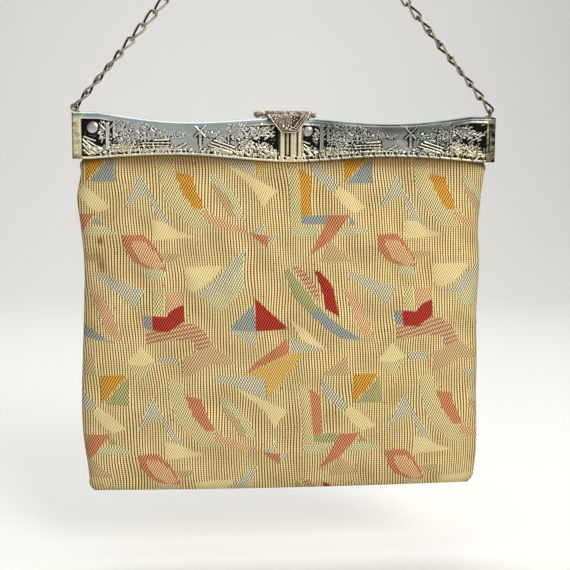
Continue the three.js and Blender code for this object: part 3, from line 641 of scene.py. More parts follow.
class Shader:
    """A material and short ways to add the nodes that it is made of."""

    def __init__(self, name):
        self.material = bpy.data.materials.new(name)
        self.material.use_nodes = True
        self.tree = self.material.node_tree
        self.surface = self.tree.nodes["Principled BSDF"]

    def put(self, socket, value):
        """Links a socket to another, or sets it to a number, a list or a colour of three display values."""
        if isinstance(value, bpy.types.NodeSocket):
            self.tree.links.new(value, socket)
        else:
            socket.default_value = colour(*value) if isinstance(value, tuple) else value

    def set(self, name, value):
        self.put(self.surface.inputs[name], value)

    def add(self, kind, output, inputs, **settings):
        """An output of a new node, once its settings and its inputs, by name or number, are put in."""
        node = self.tree.nodes.new(kind)
        for key, value in settings.items():
            setattr(node, key, value)
        for key, value in inputs.items():
            self.put(node.inputs[key], value)
        return node.outputs[output]

    def value(self, name):
        """One of the mesh's own values."""
        return self.add("ShaderNodeAttribute", "Fac", {}, attribute_name=name)

    def math(self, operation, first, second=0.0):
        return self.add("ShaderNodeMath", 0, {0: first, 1: second}, operation=operation)

    def plus(self, first, second):
        return self.math("ADD", first, second)

    def times(self, first, second):
        return self.math("MULTIPLY", first, second)

    def cosine(self, cycles):
        return self.math("COSINE", self.times(cycles, TURN))

    def step(self, value, low, high):
        """An S-shaped change from 0 at low to 1 at high; low may be the greater."""
        limits = {"Value": value, "From Min": low, "From Max": high}
        return self.add("ShaderNodeMapRange", "Result", limits, interpolation_type="SMOOTHSTEP")

    def ramp(self, value, low, high):
        """A straight change from low at 0 to high at 1."""
        return self.add("ShaderNodeMapRange", "Result", {"Value": value, "To Min": low, "To Max": high})

    def mix(self, share, first, second):
        return self.add("ShaderNodeMix", 2, {"Factor": share, 6: first, 7: second}, data_type="RGBA")

    def noise(self, name, detail=3.0, stretch=(1, 1, 1)):
        place = self.add("ShaderNodeTexCoord", "Object", {})
        place = self.add("ShaderNodeMapping", "Vector", {"Vector": place, "Scale": list(stretch)})
        sizes = {"Vector": place, "Scale": NOISE[name], "Detail": detail}
        return self.add("ShaderNodeTexNoise", "Fac", sizes)

    def bump(self, height, distance, strength):
        sizes = {"Height": height, "Distance": distance * METRES, "Strength": strength}
        self.set("Normal", self.add("ShaderNodeBump", "Normal", sizes))


def cloth_material():
    """Straw ribs with dark gaps, and in each motif coloured thread with a small repeat of dots or a net."""
    s = Shader("tapestry")
    rib, pick = s.value("rib"), s.value("pick")
    wave = s.cosine(rib)
    row = s.cosine(s.math("SUBTRACT", pick, s.times(rib, ROW_SLOPE)))
    checks = s.times(wave, row)
    dots = s.step(s.times(checks, s.times(row, row)), -0.08, 0.1)
    net = s.step(s.math("ABSOLUTE", s.plus(wave, row)), 1.05, 0.5)
    stripes = s.cosine(s.plus(pick, s.times(rib, STRIPE_RISE)))
    cloudy = s.noise("cloudy", 4)
    fine = s.noise("fine", 2)
    specks = s.step(s.noise("specks", 1), 0.7, 0.76)

    straw = s.mix(s.step(fine, 0.5, 0.75), s.mix(cloudy, *STRAW), STRAW_FIBRE)
    beads = s.times(s.cosine(s.times(pick, 2.0)), 0.4)
    shade = s.mix(s.step(s.plus(wave, beads), 0.12, -0.5), straw, s.mix(cloudy, *GAP))
    shade = s.mix(s.times(specks, 0.6), shade, SPECK)

    striped = s.mix(s.step(stripes, -0.3, 0.3), *STRIPES)
    # Roughens the motifs' outlines thread by thread, a quarter of a repeat away from the dots
    jag = s.times(s.cosine(s.plus(rib, 0.25)), s.cosine(s.plus(pick, 0.25)))
    jag = s.times(jag, 0.4)
    for name, (repeat, thread, gaps) in THREADS.items():
        look = s.mix(dots if repeat == "dots" else net, thread or striped, gaps)
        shade = s.mix(s.step(s.plus(s.value(name), jag), -0.15, 0.15), shade, look)
    shade = s.mix(s.times(s.value("stain"), s.step(cloudy, 0.3, 0.6)), shade, STAIN)
    # Painted shade: a shadow under the frame, shade in the creases, and darker towards the seams and the hem
    s.set("Base Color", s.mix(s.times(s.value("painted_cloth_shade"), 0.85), shade, CLOTH_SHADE_COLOUR))
    s.set("Roughness", 0.88)
    s.set("Specular IOR Level", 0.2)
    s.set("Sheen Weight", 0.04)
    pricked = s.plus(s.plus(s.times(dots, -0.8), s.times(net, -0.5)), 0.6)
    pricked = s.times(pricked, s.step(s.value("motif"), -0.1, 0.3))
    s.bump(s.plus(pricked, s.times(fine, 0.5)), 0.25, 0.7)
    return s.material


def metal_material(name):
    """Worn cast metal: polished crests, black hollows, and by its own values warm, dull, painted reflection,
    painted shade.
    """
    bright, warm, dull_and_reflected, tarnish, roughness = METALS[name]
    s = Shader(name)
    patches = s.noise("patches", 5)
    brushed = s.noise("brushed", 3, (0.2, 1, 3))
    pits = s.noise("pits", 2)
    wander = s.times(s.plus(patches, -0.5), 0.9)
    # Warm tone, which on the rails' low band is a painted reflection of the cloth
    body = s.mix(s.step(s.plus(s.value("warm"), wander), 0.1, 0.9), bright, warm)
    streaks = s.times(s.step(brushed, 0.46, 0.7), s.ramp(s.value("warm"), 0.55, 0.15))
    # Dull patches, and on the rails' plain upper ground a painted grey reflection
    dull_patches_and_reflection = s.step(s.plus(s.value("dull_and_reflected"), wander), 0.1, 0.9)
    body = s.mix(s.math("MAXIMUM", dull_patches_and_reflection, streaks), body, dull_and_reflected)
    hollow = s.plus(s.value("hollow"), s.times(s.plus(pits, -0.5), 0.8))
    body = s.mix(s.times(s.step(hollow, -0.15, -0.75), 0.7), body, POLISHED)
    # Painted shade and painted dark reflections, mottled with tarnish, laid over the body
    body = s.mix(s.value("shade_and_tarnish"), body, SHADE_AND_TARNISH_COLOUR)
    dirt = s.step(hollow, 0.1, 0.5)
    s.set("Base Color", s.mix(dirt, body, tarnish))
    s.set("Metallic", s.ramp(dirt, 1.0, 0.3))
    s.set("Specular IOR Level", 0.15)
    s.set("Roughness", s.plus(s.ramp(dirt, roughness, 0.6), s.times(patches, 0.14)))
    s.bump(s.plus(s.times(pits, 0.5), brushed), 0.12, 0.35)
    return s.material


def thread_material():
    """Twisted sewing thread: brown strands with paler crests."""
    s = Shader("sewing_thread")
    strands = s.noise("strands", 2, (1, 1, 0.4))
    s.set("Base Color", s.mix(s.step(strands, 0.35, 0.65), *SEWING_THREAD))
    s.set("Roughness", 0.85)
    s.bump(strands, 0.1, 0.6)
    return s.material


def edge_height(x, edge):
    """A frame edge along X: flat ends, a quarter sine to each waist and a full cosine to the middle."""
    out = np.abs(x)
    flat, waist = edge["flat_from"], edge["waist"]
    shoulder = edge["waist_rise"] * np.sin(np.pi / 2 * np.clip((flat - out) / (flat - waist), 0, 1))
    swell = 0.5 - 0.5 * np.cos(np.pi * out / waist)
    middle = edge["middle_rise"] + (edge["waist_rise"] - edge["middle_rise"]) * swell
    return edge["level"] + np.where(out >= waist, shoulder, middle)


def inside_distance(u, v, corners):
    """Distance to a polygon's nearest side, positive inside by the even-odd rule."""
    nearest = np.full(u.shape, np.inf)
    inside = np.zeros(u.shape, bool)
    for (ax, ay), (bx, by) in zip(corners, np.roll(corners, -1, axis=0)):
        ex, ey = bx - ax, by - ay
        share = np.clip(((u - ax) * ex + (v - ay) * ey) / (ex * ex + ey * ey), 0, 1)
        nearest = np.minimum(nearest, (u - ax - share * ex) ** 2 + (v - ay - share * ey) ** 2)
        if ey:
            inside ^= ((ay > v) != (by > v)) & (u < ax + ex * (v - ay) / ey)
    return np.where(inside, 1, -1) * np.sqrt(nearest)


def woven_layers(x, drop, start, drawn):
    """For each weave, how far inside its motifs a place is: the outlines, repeated across and down."""
    v_all = drop - start[1]
    u_all = x - start[0] - LEAN * v_all
    for middle, level, wide, tall, aside, lower in drawn:
        near = spot(x, drop, middle, level, wide, tall)
        u_all, v_all = u_all + aside * near, v_all + lower * near
    layers = {name: np.full(x.shape, -OUTSIDE) for name in THREADS}
    for (upper, lower), outlines in MOTIFS.items():
        for outline, down, across in product(outlines, range(-1, 3), range(-2, 3)):
            corners = np.array([pair.split(",") for pair in outline.split()], float)
            low, high = corners.min(axis=0) - OUTSIDE, corners.max(axis=0) + OUTSIDE
            u, v = u_all - across * REPEAT[0], v_all - down * REPEAT[1]
            near = (u > low[0]) & (u < high[0]) & (v > low[1]) & (v < high[1])
            if near.any():
                layer = layers[lower if down % 2 else upper]
                layer[near] = np.maximum(layer[near], inside_distance(u[near], v[near], corners))
    return layers


def fold_height(folds, x, drop):
    """The sum of soft oval dents and swellings, each a Gauss curve along and across its own lean."""
    total = np.zeros_like(x)
    for middle, level, along, across, lean, rise in folds:
        c, s = np.cos(np.radians(lean)), np.sin(np.radians(lean))
        a = (x - middle) * c + (drop - level) * s
        b = -(x - middle) * s + (drop - level) * c
        total += rise * spot(a, b, 0, 0, along, across)
    return total


def cloth_panel(name, facing, folds, start, seed, material):
    """One side of the pouch: levels down from the frame, each a flattened bow between the seams, ribbed."""
    ribs = round(2 * SECTIONS[:, 1].max() / RIB_PITCH)
    across = np.linspace(-1, 1, ribs * COLUMNS_A_RIB + 1)
    above = np.linspace(SECTIONS[0, 0], HEM["from"], HEM["rows_above"], endpoint=False)
    hem = (SECTIONS[-1, 0] - HEM["from"]) * np.sin(np.linspace(0, np.pi / 2, HEM["rows"]))
    t, drop = np.meshgrid(across, np.concatenate([above, HEM["from"] + hem]))
    left, right, front, back, square = (through(drop, SECTIONS[:, 0], SECTIONS[:, k]) for k in range(1, 6))
    depth = np.clip(front if facing < 0 else back, 0, None)
    x = np.where(t < 0, t * left, t * right)
    crown = np.sqrt(np.clip(1 - np.abs(t) ** square, 0, None))

    seen = x if facing < 0 else -x
    layers = woven_layers(seen, drop, start, DRAWN if facing < 0 else [])
    motif = np.max(np.stack(list(layers.values())), axis=0)
    covered = smooth_step(motif, -0.3, 0.6)
    swollen = SWELL["broad"] * soften(covered, WINDOW["broad"])
    swollen = swollen + SWELL["close"] * soften(covered, WINDOW["close"])
    pull = WARP["pull"] * np.gradient(soften(covered, WINDOW["pull"]), axis=1)
    warp = WARP["ripples"] * ripples(seen, drop, 12, 22, 66, seed)
    warp -= np.clip(pull, -WARP["limit"], WARP["limit"])
    rib = (seen - LEAN * drop + warp) / RIB_PITCH
    pick = (drop + WARP["ripples"] * ripples(seen, drop, 5, 25, 60, seed + 1)) / PICK_PITCH
    loose = smooth_step(drop, 0, 5) * smooth_step(POUCH_DROP - drop, 0, 4)
    crest = RIB_RISE * (0.5 + 0.5 * np.cos(TURN * rib)) * (1 - 0.8 * covered)
    puckers = SWELL["ripples"] * ripples(seen, drop, 12, 12, 36, seed + 2)
    rise = loose * (crest + swollen - SWELL["back"] + puckers)
    y = facing * (depth + fold_height(folds, x, drop) * depth / FULLEST + rise) * crown
    hung = np.clip(drop, 0, None)
    z = FRAME_BOTTOM - drop - BOTTOM_SAG * hung * (1 - t * t) / POUCH_DROP

    stain = np.zeros_like(x)
    if facing < 0:
        for middle, level, wide, tall, strength in STAINS:
            stain += strength * spot(x, drop, middle, level, wide, tall)
    # Painted shade: darker towards the seams and the hem, shade in the creases between swellings, and a
    # shadow under the frame
    edges = np.exp(-np.minimum(x + left, right - x) / CLOTH_SHADE_SPREAD["seam"])
    edges = edges + np.exp(-(POUCH_DROP - drop) / CLOTH_SHADE_SPREAD["hem"])
    creases = np.clip(soften(rise, WINDOW["wide"]) - soften(rise, WINDOW["narrow"]), 0, 1)
    painted_cloth_shade = CLOTH_SHADE_SPREAD["edges"] * edges + CLOTH_SHADE_SPREAD["creases"] * creases
    for strength, reach in (CLOTH_SHADE_SPREAD["near"], CLOTH_SHADE_SPREAD["far"]):
        painted_cloth_shade = painted_cloth_shade + strength * np.exp(-(hung / reach) ** 2)
    painted_cloth_shade = np.clip(painted_cloth_shade, 0, 1)
    values = {"rib": rib, "pick": pick, "stain": np.clip(stain, 0, 1), "painted_cloth_shade": painted_cloth_shade, "motif": motif, **layers}
    points = np.stack([x, y, z], axis=-1).reshape(-1, 3)
    faces = facing_out(points, grid_faces(*x.shape))
    piece = add_piece(name, points, faces, material, values=values)
    return piece


def dome(a, h, middle, level, wide, tall):
    """A rounded knob, 1 at its middle and 0 at its oval outline."""
    return np.sqrt(np.clip(1 - ((a - middle) / wide) ** 2 - ((h - level) / tall) ** 2, 0, 1))


def stroke(a, h, from_a, from_h, to_a, to_h, wide):
    """A ridge along a straight line, 1 on the line and 0 at its width."""
    ea, eh = to_a - from_a, to_h - from_h
    share = np.clip(((a - from_a) * ea + (h - from_h) * eh) / (ea * ea + eh * eh), 0, 1)
    apart = np.hypot(a - from_a - share * ea, h - from_h - share * eh)
    return np.sqrt(np.clip(1 - (apart / wide) ** 2, 0, 1))


def gable(a, h, middle, foot, wide, tall):
    """A house front: upright walls under a pointed roof that stands a little prouder, with a sunk window."""
    out = np.abs(a - middle)
    eaves = foot + tall * 0.55
    walls = smooth_step(wide / 2 - out, 0, 0.3)
    walls = walls * smooth_step(h - foot, 0, 0.3) * smooth_step(eaves - h, 0, 0.3)
    slope = (foot + tall - h) / (tall * 0.45) * wide * 0.6
    roof = smooth_step(slope - out, 0, 0.35) * smooth_step(h - eaves, -0.1, 0.25)
    window = dome(a, h, middle - wide * 0.15, foot + tall * 0.3, 0.55, 0.7)
    return np.maximum(0.75 * walls - 0.8 * window, roof)


def scattered_knobs(rise, a, h, seed):
    """Raises the clumps of small domes, each at a random place near its clump's middle."""
    random = np.random.default_rng(seed)
    for middle, level, long, tall, count, radius, top in CLUMPS:
        spots = random.normal(0, 0.5, (count, 2)) * (long, tall) + (middle, level)
        sizes = radius * random.uniform(0.7, 1.25, count)
        tops = top * random.uniform(0.5, 1.0, count)
        for (spot_a, spot_h), size, knob in zip(spots, sizes, tops):
            near = np.abs(a[0] - spot_a) < size
            if near.any():
                cap = knob * dome(a[:, near], h[:, near], spot_a, spot_h, size, size * 0.85)
                rise[:, near] = np.maximum(rise[:, near], cap)
    return rise


def scattered_leaves(rise, a, h, seed):
    """Raises the beds of leaves, each leaf a short ridge that leans about the way its bed does."""
    random = np.random.default_rng(seed)
    for middle, level, long, tall, count, length, wide, lean, top in LEAVES:
        spots = random.normal(0, 0.5, (count, 2)) * (long, tall) + (middle, level)
        leans = np.radians(lean + random.normal(0, 22, count))
        reaches = length / 2 * random.uniform(0.6, 1.2, count)
        tops = top * random.uniform(0.4, 1.0, count)
        for (spot_a, spot_h), turn, reach, ridge in zip(spots, leans, reaches, tops):
            near = np.abs(a[0] - spot_a) < reach + wide
            if near.any():
                step_a, step_h = reach * np.cos(turn), reach * np.sin(turn)
                ends = (spot_a - step_a, spot_h - step_h, spot_a + step_a, spot_h + step_h)
                leaf = ridge * stroke(a[:, near], h[:, near], *ends, wide)
                rise[:, near] = np.maximum(rise[:, near], leaf)
    return rise


def cast_scene(a, h, seed):
    """A panel's low relief, 0 to 1: the highest of bank, hill, trunks, knobs, leaves, houses and ridges."""
    slope = np.where(a < HILL["middle"], -HILL["left_slope"], HILL["right_slope"])
    hill = smooth_step(HILL["top"] - slope * (a - HILL["middle"]) - h, -1.2, 2.6)
    bank = smooth_step(BANK["top"] - BANK["slope"] * a - h, 0, 0.7)
    rise = np.maximum(STANDS["hill"] * hill, STANDS["bank"] * bank)
    for middle, half, foot, top in TRUNKS:
        trunk = smooth_step(half - np.abs(a - middle), 0, 0.35) * smooth_step(h - foot, 0, 0.5)
        rise = np.maximum(rise, STANDS["trunk"] * trunk * smooth_step(top - h, 0, 0.5))
    rise = scattered_leaves(scattered_knobs(rise, a, h, seed), a, h, seed + 1)
    for house in HOUSES:
        rise = np.maximum(rise, STANDS["house"] * gable(a, h, *house))
    for from_a, from_h, to_a, to_h, half, top in RIDGES:
        rise = np.maximum(rise, top * stroke(a, h, from_a, from_h, to_a, to_h, half))
    for i in range(FENCE_POSTS["count"]):
        post = FENCE_POSTS["from"] + FENCE_POSTS["step"] * i
        upright = stroke(a, h, post, FENCE_POSTS["foot"], post, FENCE_POSTS["top"], FENCE_POSTS["half"])
        rise = np.maximum(rise, FENCE_POSTS["rise"] * upright)
    around = np.hypot(a - BALL[0], h - BALL[1])
    clear = smooth_step(around, BALL[2] + 0.1, BALL[2] + 0.9)
    return np.maximum(rise * clear, STANDS["ball"] * dome(a, h, *BALL))


def front_depth(x, h, span):
    """How far the cast face lies behind the frame's front, and how much of the relief covers it."""
    depth, relief = np.zeros_like(x), np.zeros_like(x)
    ceiling = span - PANEL["top"] - PANEL["bottom"]
    g = h - PANEL["bottom"]
    for origin, first, last, seed in PANELS:
        a = x - origin
        sides = np.minimum(x - first, last - x)
        first_end = np.exp(-(a / END_REACH["first"]) ** 4)
        last_end = np.exp(-((RELIEF_LENGTH - a) / END_REACH["last"]) ** 4)
        framed = np.clip(first_end + last_end, 0, 1)
        stepped, rolled = smooth_step(ceiling - g, -0.2, 0.4), smooth_step(ceiling - g, -2.6, 3.0)
        roof = framed * stepped + (1 - framed) * rolled
        wall = smooth_step(sides, 0, 0.4) * roof * smooth_step(h, 0.8, 1.6)
        floor = SUNK["ground"] + SUNK["ends"] * framed + SUNK["low"] * smooth_step(7.5 - g, 0, 3)
        scene = cast_scene(a, g, seed) * smooth_step(span - TOP_ROLL - h, 0, 0.4)
        lip = framed * np.exp(-(((ceiling - g) + 0.4) / 0.35) ** 2) * (sides > 0)
        sunk = wall * floor
        carved = sunk - scene * np.maximum(sunk, PROUD["least"]) - PROUD["lip"] * lip
        depth = np.where(sides > 0, carved, depth)
        relief = np.where(sides > 0, smooth_step(scene, 0.05, 0.4), relief)
    rods = np.zeros_like(x)
    for low, high in BARS:
        rods = np.maximum(rods, np.sqrt(np.clip(1 - ((2 * x - low - high) / (high - low)) ** 4, 0, 1)))
    between = smooth_step(np.minimum(x - PANEL["left"], PANEL["right"] - x), -0.1, 0.3)
    pillar = between * smooth_step(h, 2.0, 3.0) * smooth_step(span - 3.0 - h, 0, 1.5)
    depth = depth * (1 - pillar) + pillar * (-PROUD["pillar"] - PROUD["bars"] * rods)
    groove = np.exp(-((np.abs(x) - END_GROOVE["x"]) / END_GROOVE["half"]) ** 2)
    groove = groove * smooth_step(g, 0, 1) * smooth_step(ceiling - g, 0, 1)
    depth = depth + np.where(x < 0, END_GROOVE["left"], END_GROOVE["right"]) * groove
    return depth, relief * (1 - pillar)


def back_depth(x, h, span):
    """The plain back face: two shallow sunk panels with soft borders, and no relief."""
    ceiling = span - PANEL["top"] - PANEL["bottom"]
    g = h - PANEL["bottom"]
    sides = np.minimum(np.abs(x) - PANEL["right"], HALF_LENGTH - PANEL["end"] - np.abs(x))
    sunk = smooth_step(sides, 0, 0.7) * smooth_step(g, -0.2, 0.5) * smooth_step(ceiling - g, -0.2, 0.5)
    return SUNK["back"] * sunk, np.zeros_like(x)


def sewing_holes():
    """Places of the sewing holes along X, evenly spaced."""
    count = SEW_HOLE["count"]
    return SEW_HOLE["shift"] + (np.arange(count) - (count - 1) / 2) * SEW_HOLE["spacing"]


def rail_face(x, span, rows, face_depth):
    """The rows of a rail's face: height above its lower edge, depth, relief, and tarnish with painted shade
    on the right.
    """
    h = LOW_ROUND + np.linspace(1, 0, rows)[:, None] * (span - TOP_ROLL - LOW_ROUND)
    along = np.broadcast_to(x, h.shape)
    depth, relief = face_depth(along, h, np.broadcast_to(span, h.shape))
    for hole in sewing_holes():
        apart = np.hypot(along - hole, h - SEW_HOLE["above_edge"])
        depth = depth + SEW_HOLE["depth"] * smooth_step(SEW_HOLE["radius"] * 1.25 - apart, 0, 0.3)
    aged_and_shaded = TARNISH_AND_PAINTED_SHADE["relief"] * relief + TARNISH_AND_PAINTED_SHADE["low_band"] * smooth_step(3.0 - h, 0, 1.5)
    # Painted shade: the upper relief on the right half is darker
    aged_and_shaded = aged_and_shaded + TARNISH_AND_PAINTED_SHADE["right"] * smooth_step(along, 6, 11) * smooth_step(h, 4, 8)
    hollow = TARNISH_AND_PAINTED_SHADE["hollows"] * (depth - soften(depth, (2, 2)))
    hollow = hollow + TARNISH_AND_PAINTED_SHADE["ground"] * smooth_step(depth, 0.6, 0.95) + aged_and_shaded
    return h, depth, relief, np.clip(hollow, -1, 1)


def rail_looks(facing, x, z, share, cast):
    """On a rail by height and place: warm ends and pillar, painted reflections low and high, painted shade
    with tarnish.
    """
    (pillar_at, pillar_half), (waist_at, waist_reach) = PLACES["pillar"], PLACES["waist"]
    pillar = smooth_step(pillar_half - np.abs(x - pillar_at), 0, 0.4)
    roll = smooth_step(share, 0.88, 0.97) * (1 - 0.7 * smooth_step(share, 0.98, 0.999))
    low_edge = smooth_step(0.14 - share, 0, 0.1)
    end = smooth_step(np.abs(x), *PLACES["end"]) * (1 - 0.7 * roll)
    waists = np.exp(-((np.abs(x) - waist_at) / waist_reach) ** 2)
    # Painted reflection of the cloth: the low band is warmer, less at the waists
    low_band = (WARM["low_band"] - WARM["waists"] * waists) * smooth_step(0.5 - share, 0, 0.35)
    warm = low_band + end + WARM["pillar"] * pillar
    # Painted reflection: grey on the plain upper ground, away from relief, pillar and ends
    dull_and_reflected = smooth_step(share, 0.45, 0.7) * (1 - cast) * (1 - pillar) * (1 - 0.8 * end)

    # Painted shade: the right half darker, painted dark reflections on its upper band and top roll, and a
    # painted shadow at the right end's outer edge
    shade_and_tarnish = np.full_like(z, RAIL_SHADE_AND_TARNISH["back"])
    if facing < 0:
        upper = smooth_step(share, 0.6, 0.85) * (roll + smooth_step(0.95 - share, 0, 0.1))
        right = RAIL_SHADE_AND_TARNISH["right"] + RAIL_SHADE_AND_TARNISH["upper"] * np.minimum(upper, 1) + RAIL_SHADE_AND_TARNISH["roll"] * roll
        right_end = RAIL_SHADE_AND_TARNISH["right_end"] + RAIL_SHADE_AND_TARNISH["right_edges"] * (roll + low_edge)
        right = right + (right_end - right) * smooth_step(x, *PLACES["end_shade"])
        right = right + RAIL_SHADE_AND_TARNISH["outermost"] * smooth_step(x, *PLACES["outermost"])
        left_end = RAIL_SHADE_AND_TARNISH["left_end"] + RAIL_SHADE_AND_TARNISH["left_low"] * low_edge + RAIL_SHADE_AND_TARNISH["left_roll"] * roll
        shade_and_tarnish = right * smooth_step(x, *PLACES["right"]) + left_end * smooth_step(-x, *PLACES["end_shade"])
    along = np.broadcast_to(x, z.shape)
    # Mottled tarnish over it, stronger on the end blocks
    shade_and_tarnish = shade_and_tarnish + 0.07 * ripples(along, z, 9, 5, 30, 23) + 0.22 * end * ripples(along, z, 9, 1.5, 6, 29)
    return {"warm": np.clip(warm, 0, 1), "dull_and_reflected": dull_and_reflected, "shade_and_tarnish": np.clip(shade_and_tarnish, 0, 1)}


def rail(facing, face_depth, columns, rows):
    """Half the frame: a channel profile carried along X, its face shaped by face_depth, and its end walls."""
    x = np.linspace(-HALF_LENGTH, HALF_LENGTH, columns)
    top, low = edge_height(x, TOP_EDGE), edge_height(x, LOW_EDGE)
    span = top - low
    face_h, depth, relief, hollow_face = rail_face(x, span, rows, face_depth)
    ends = np.clip(np.abs(x) - (HALF_LENGTH - EDGE_ROUND), 0, EDGE_ROUND)
    skin = -HALF_DEPTH + EDGE_ROUND - np.sqrt(np.clip(EDGE_ROUND**2 - ends**2, 0, None))
    inner = np.full_like(x, -HALF_DEPTH + FACE_THICKNESS)
    parting = np.full_like(x, -RAIL_GAP / 2)
    roof = top - RAIL_WALL
    turn = np.linspace(0, np.pi / 2, 9)[:, None]
    top_y = skin + TOP_ROLL * (1 - np.sin(turn))
    top_z = top - TOP_ROLL * (1 - np.cos(turn))
    low_y = skin + LOW_ROUND * (1 - np.cos(turn))
    low_z = low + LOW_ROUND * (1 - np.sin(turn))
    ys = [parting[None], top_y[:-1], skin + depth, low_y[1:], inner[None], inner[None], parting[None]]
    zs = [top[None], top_z[:-1], low + face_h, low_z[1:], low[None], roof[None], roof[None]]
    y, z = np.concatenate(ys), np.concatenate(zs)
    loops = np.stack([np.broadcast_to(x, y.shape), facing * -y, z], axis=-1).transpose(1, 0, 2)

    face = slice(len(turn), len(turn) + rows)
    hollow, cast = np.full_like(y, TARNISH["rail"]), np.zeros_like(y)
    hollow[face], cast[face] = hollow_face, relief
    values = {"hollow": hollow, **rail_looks(facing, x, z, (z - low) / span, cast)}
    walls = []
    for side in (-1, 1):
        near, far = sorted((side * (HALF_LENGTH - RAIL_WALL), side * HALF_LENGTH))
        depths = sorted((facing * (HALF_DEPTH - 0.75), facing * RAIL_GAP / 2))
        walls.append(rounded((near, depths[0], FRAME_BOTTOM), (far, depths[1], FRAME_TOP), 0.35))
    return sweep(loops), walls, {key: value.T.reshape(-1) for key, value in values.items()}


def with_values(body, values, extras, hollow=TARNISH["rail"], warm=0.5):
    """A body and its extra bodies as one, with even values on the extra bodies."""
    points, faces = joined([body, *extras])
    more = len(points) - len(body[0])
    fill = {"hollow": hollow, "warm": warm}
    values = {key: np.append(value, np.full(more, fill.get(key, 0.0))) for key, value in values.items()}
    return points, faces, values


def add_rails(silver, bronze):
    """The front rail with its relief, hinge ears and stud, the plain back rail, and the clasp's knuckles."""
    body, extras, values = rail(-1, front_depth, *FRONT_GRID)
    tall = HINGE_EAR["half_height"]
    for side in (-1, 1):
        inside, outside = HALF_LENGTH - HINGE_EAR["from"], HALF_LENGTH - RAIL_WALL - HINGE_EAR["gap"]
        near, far = sorted((side * inside, side * outside))
        low = (near, HINGE_EAR["front"], HINGE["z"] - tall)
        high = (far, HINGE["y"] + HINGE_EAR["behind"], HINGE["z"] + tall)
        extras.append(rounded(low, high, HINGE_EAR["round"]))
    r, root, tip = CATCH_STUD["radius"], 1 - HALF_DEPTH, -HALF_DEPTH - CATCH_STUD["rise"]
    stud = [(root, 0), (root, r), (tip + 0.5, r), (tip + 0.15, r - 0.2), (tip, r - 0.6), (tip, 0)]
    extras.append(lathe(stud, (0, 0, edge_height(np.array(0.0), TOP_EDGE) - CATCH_STUD["below"]), 1))
    points, faces, values = with_values(body, values, extras)
    front = add_piece("cast_front_rail", points, faces, silver, sharp=60, values=values)
    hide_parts("front_rail")

    body, extras, values = rail(1, back_depth, *BACK_GRID)
    points, faces, values = with_values(body, values, extras)
    back = add_piece("cast_back_rail", points, faces, silver, sharp=60, values=values)
    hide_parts("back_rail")

    knuckles = []
    foot = edge_height(np.array(KNUCKLE["to"]), TOP_EDGE) - 0.5
    for side in (-1, 1):
        low, high = sorted((side * KNUCKLE["from"], side * KNUCKLE["to"]))
        front, behind = BARREL["y"] - KNUCKLE["half"], BARREL["y"] + KNUCKLE["half"]
        knuckles.append(lathe(bevelled(low, high, BARREL["radius"], 0.2), (0, BARREL["y"], BARREL["z"]), 0))
        knuckles.append(rounded((low, front, foot), (high, behind, BARREL["z"]), 0.2))
    points, faces = joined(knuckles)
    values = even(points, "knuckle", 0.6)
    add_piece("clasp_knuckles", points, faces, bronze, sharp=50, values=values)


def add_rivets(material):
    """A domed rivet head at each lower corner of the frame."""
    inside, outside = HALF_LENGTH - RIVET["inside"], HALF_LENGTH + RIVET["proud"]
    turn = np.linspace(0, np.pi / 2, 8)
    for side, name in ((-1, "hinge_rivet_left"), (1, "hinge_rivet_right")):
        head = [(inside, 0), (inside, RIVET["shank"]), (outside, RIVET["shank"])]
        head += [(outside + RIVET["rise"] * np.sin(q), RIVET["head"] * np.cos(q)) for q in turn]
        profile = [(side * along, radius) for along, radius in head]
        points, faces = lathe(profile, (0, HINGE["y"], HINGE["z"]), 0)
        values = even(points, "rivet", 0.3)
        piece = add_piece(f"round_{name}", points, faces, material, sharp=50, values=values)
        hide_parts(name)


def flap_half(below):
    """Half the flap's width at a distance below its top: straight, then a bent curve in to the blunt tip."""
    u = np.linspace(0, 1, 60)
    weights = np.stack([(1 - u) ** 3, 3 * u * (1 - u) ** 2, 3 * u * u * (1 - u), u**3])
    tip, tall = FLAP["tip"], FLAP["tall"]
    wide = np.array([FLAP["half"], FLAP_SIDE["shoulder"], tip + FLAP_SIDE["beside"], tip]) @ weights
    down = np.array([FLAP["straight"], FLAP_SIDE["below"], tall - FLAP_SIDE["above"], tall]) @ weights
    return np.interp(below, down, wide)


def flap_relief(across, below, half):
    """Rise of the flap's face: a rim, lines and cells on the right, a lattice and bosses elsewhere."""
    border = np.minimum((half - np.abs(across)) * 0.75, FLAP["tall"] - below)
    rim = smooth_step(border, 0, 0.2) - smooth_step(border, 0.45, 0.7)
    right = smooth_step(across, 0.8, 1.6) * smooth_step(FLAP["tall"] - 0.6 - below, 0, 0.4)
    p = FLAP_PATTERN
    lines = sum(np.exp(-((border - place) / p["line"]) ** 2) for place in p["lines"])
    rungs = np.clip(np.cos(TURN * (below - p["cell_lean"] * across) / p["cell_step"]), 0, 1)
    cells = np.exp(-((border - p["cells"]) / p["cell"]) ** 2) * rungs
    falling = np.cos(np.pi * (across + below) / p["falling"])
    rising = np.cos(np.pi * (across - p["rising_slope"] * below) / p["rising"])
    lattice = np.maximum(falling**8, rising**8)
    bosses = np.zeros_like(across)
    for boss_a, boss_b, radius in FLAP_BOSSES:
        bosses = np.maximum(bosses, dome(across, below, boss_a, boss_b, radius, radius))
    field = smooth_step(border, 0.7, 1.0)
    inner = right * np.maximum(lines, 0.6 * cells) + (1 - right) * field * np.maximum(0.55 * lattice, bosses)
    return FLAP_FACE["rim_rise"] * (rim + inner + 0.15 * field * ripples(across, below, 14, 0.6, 1.4, 31))


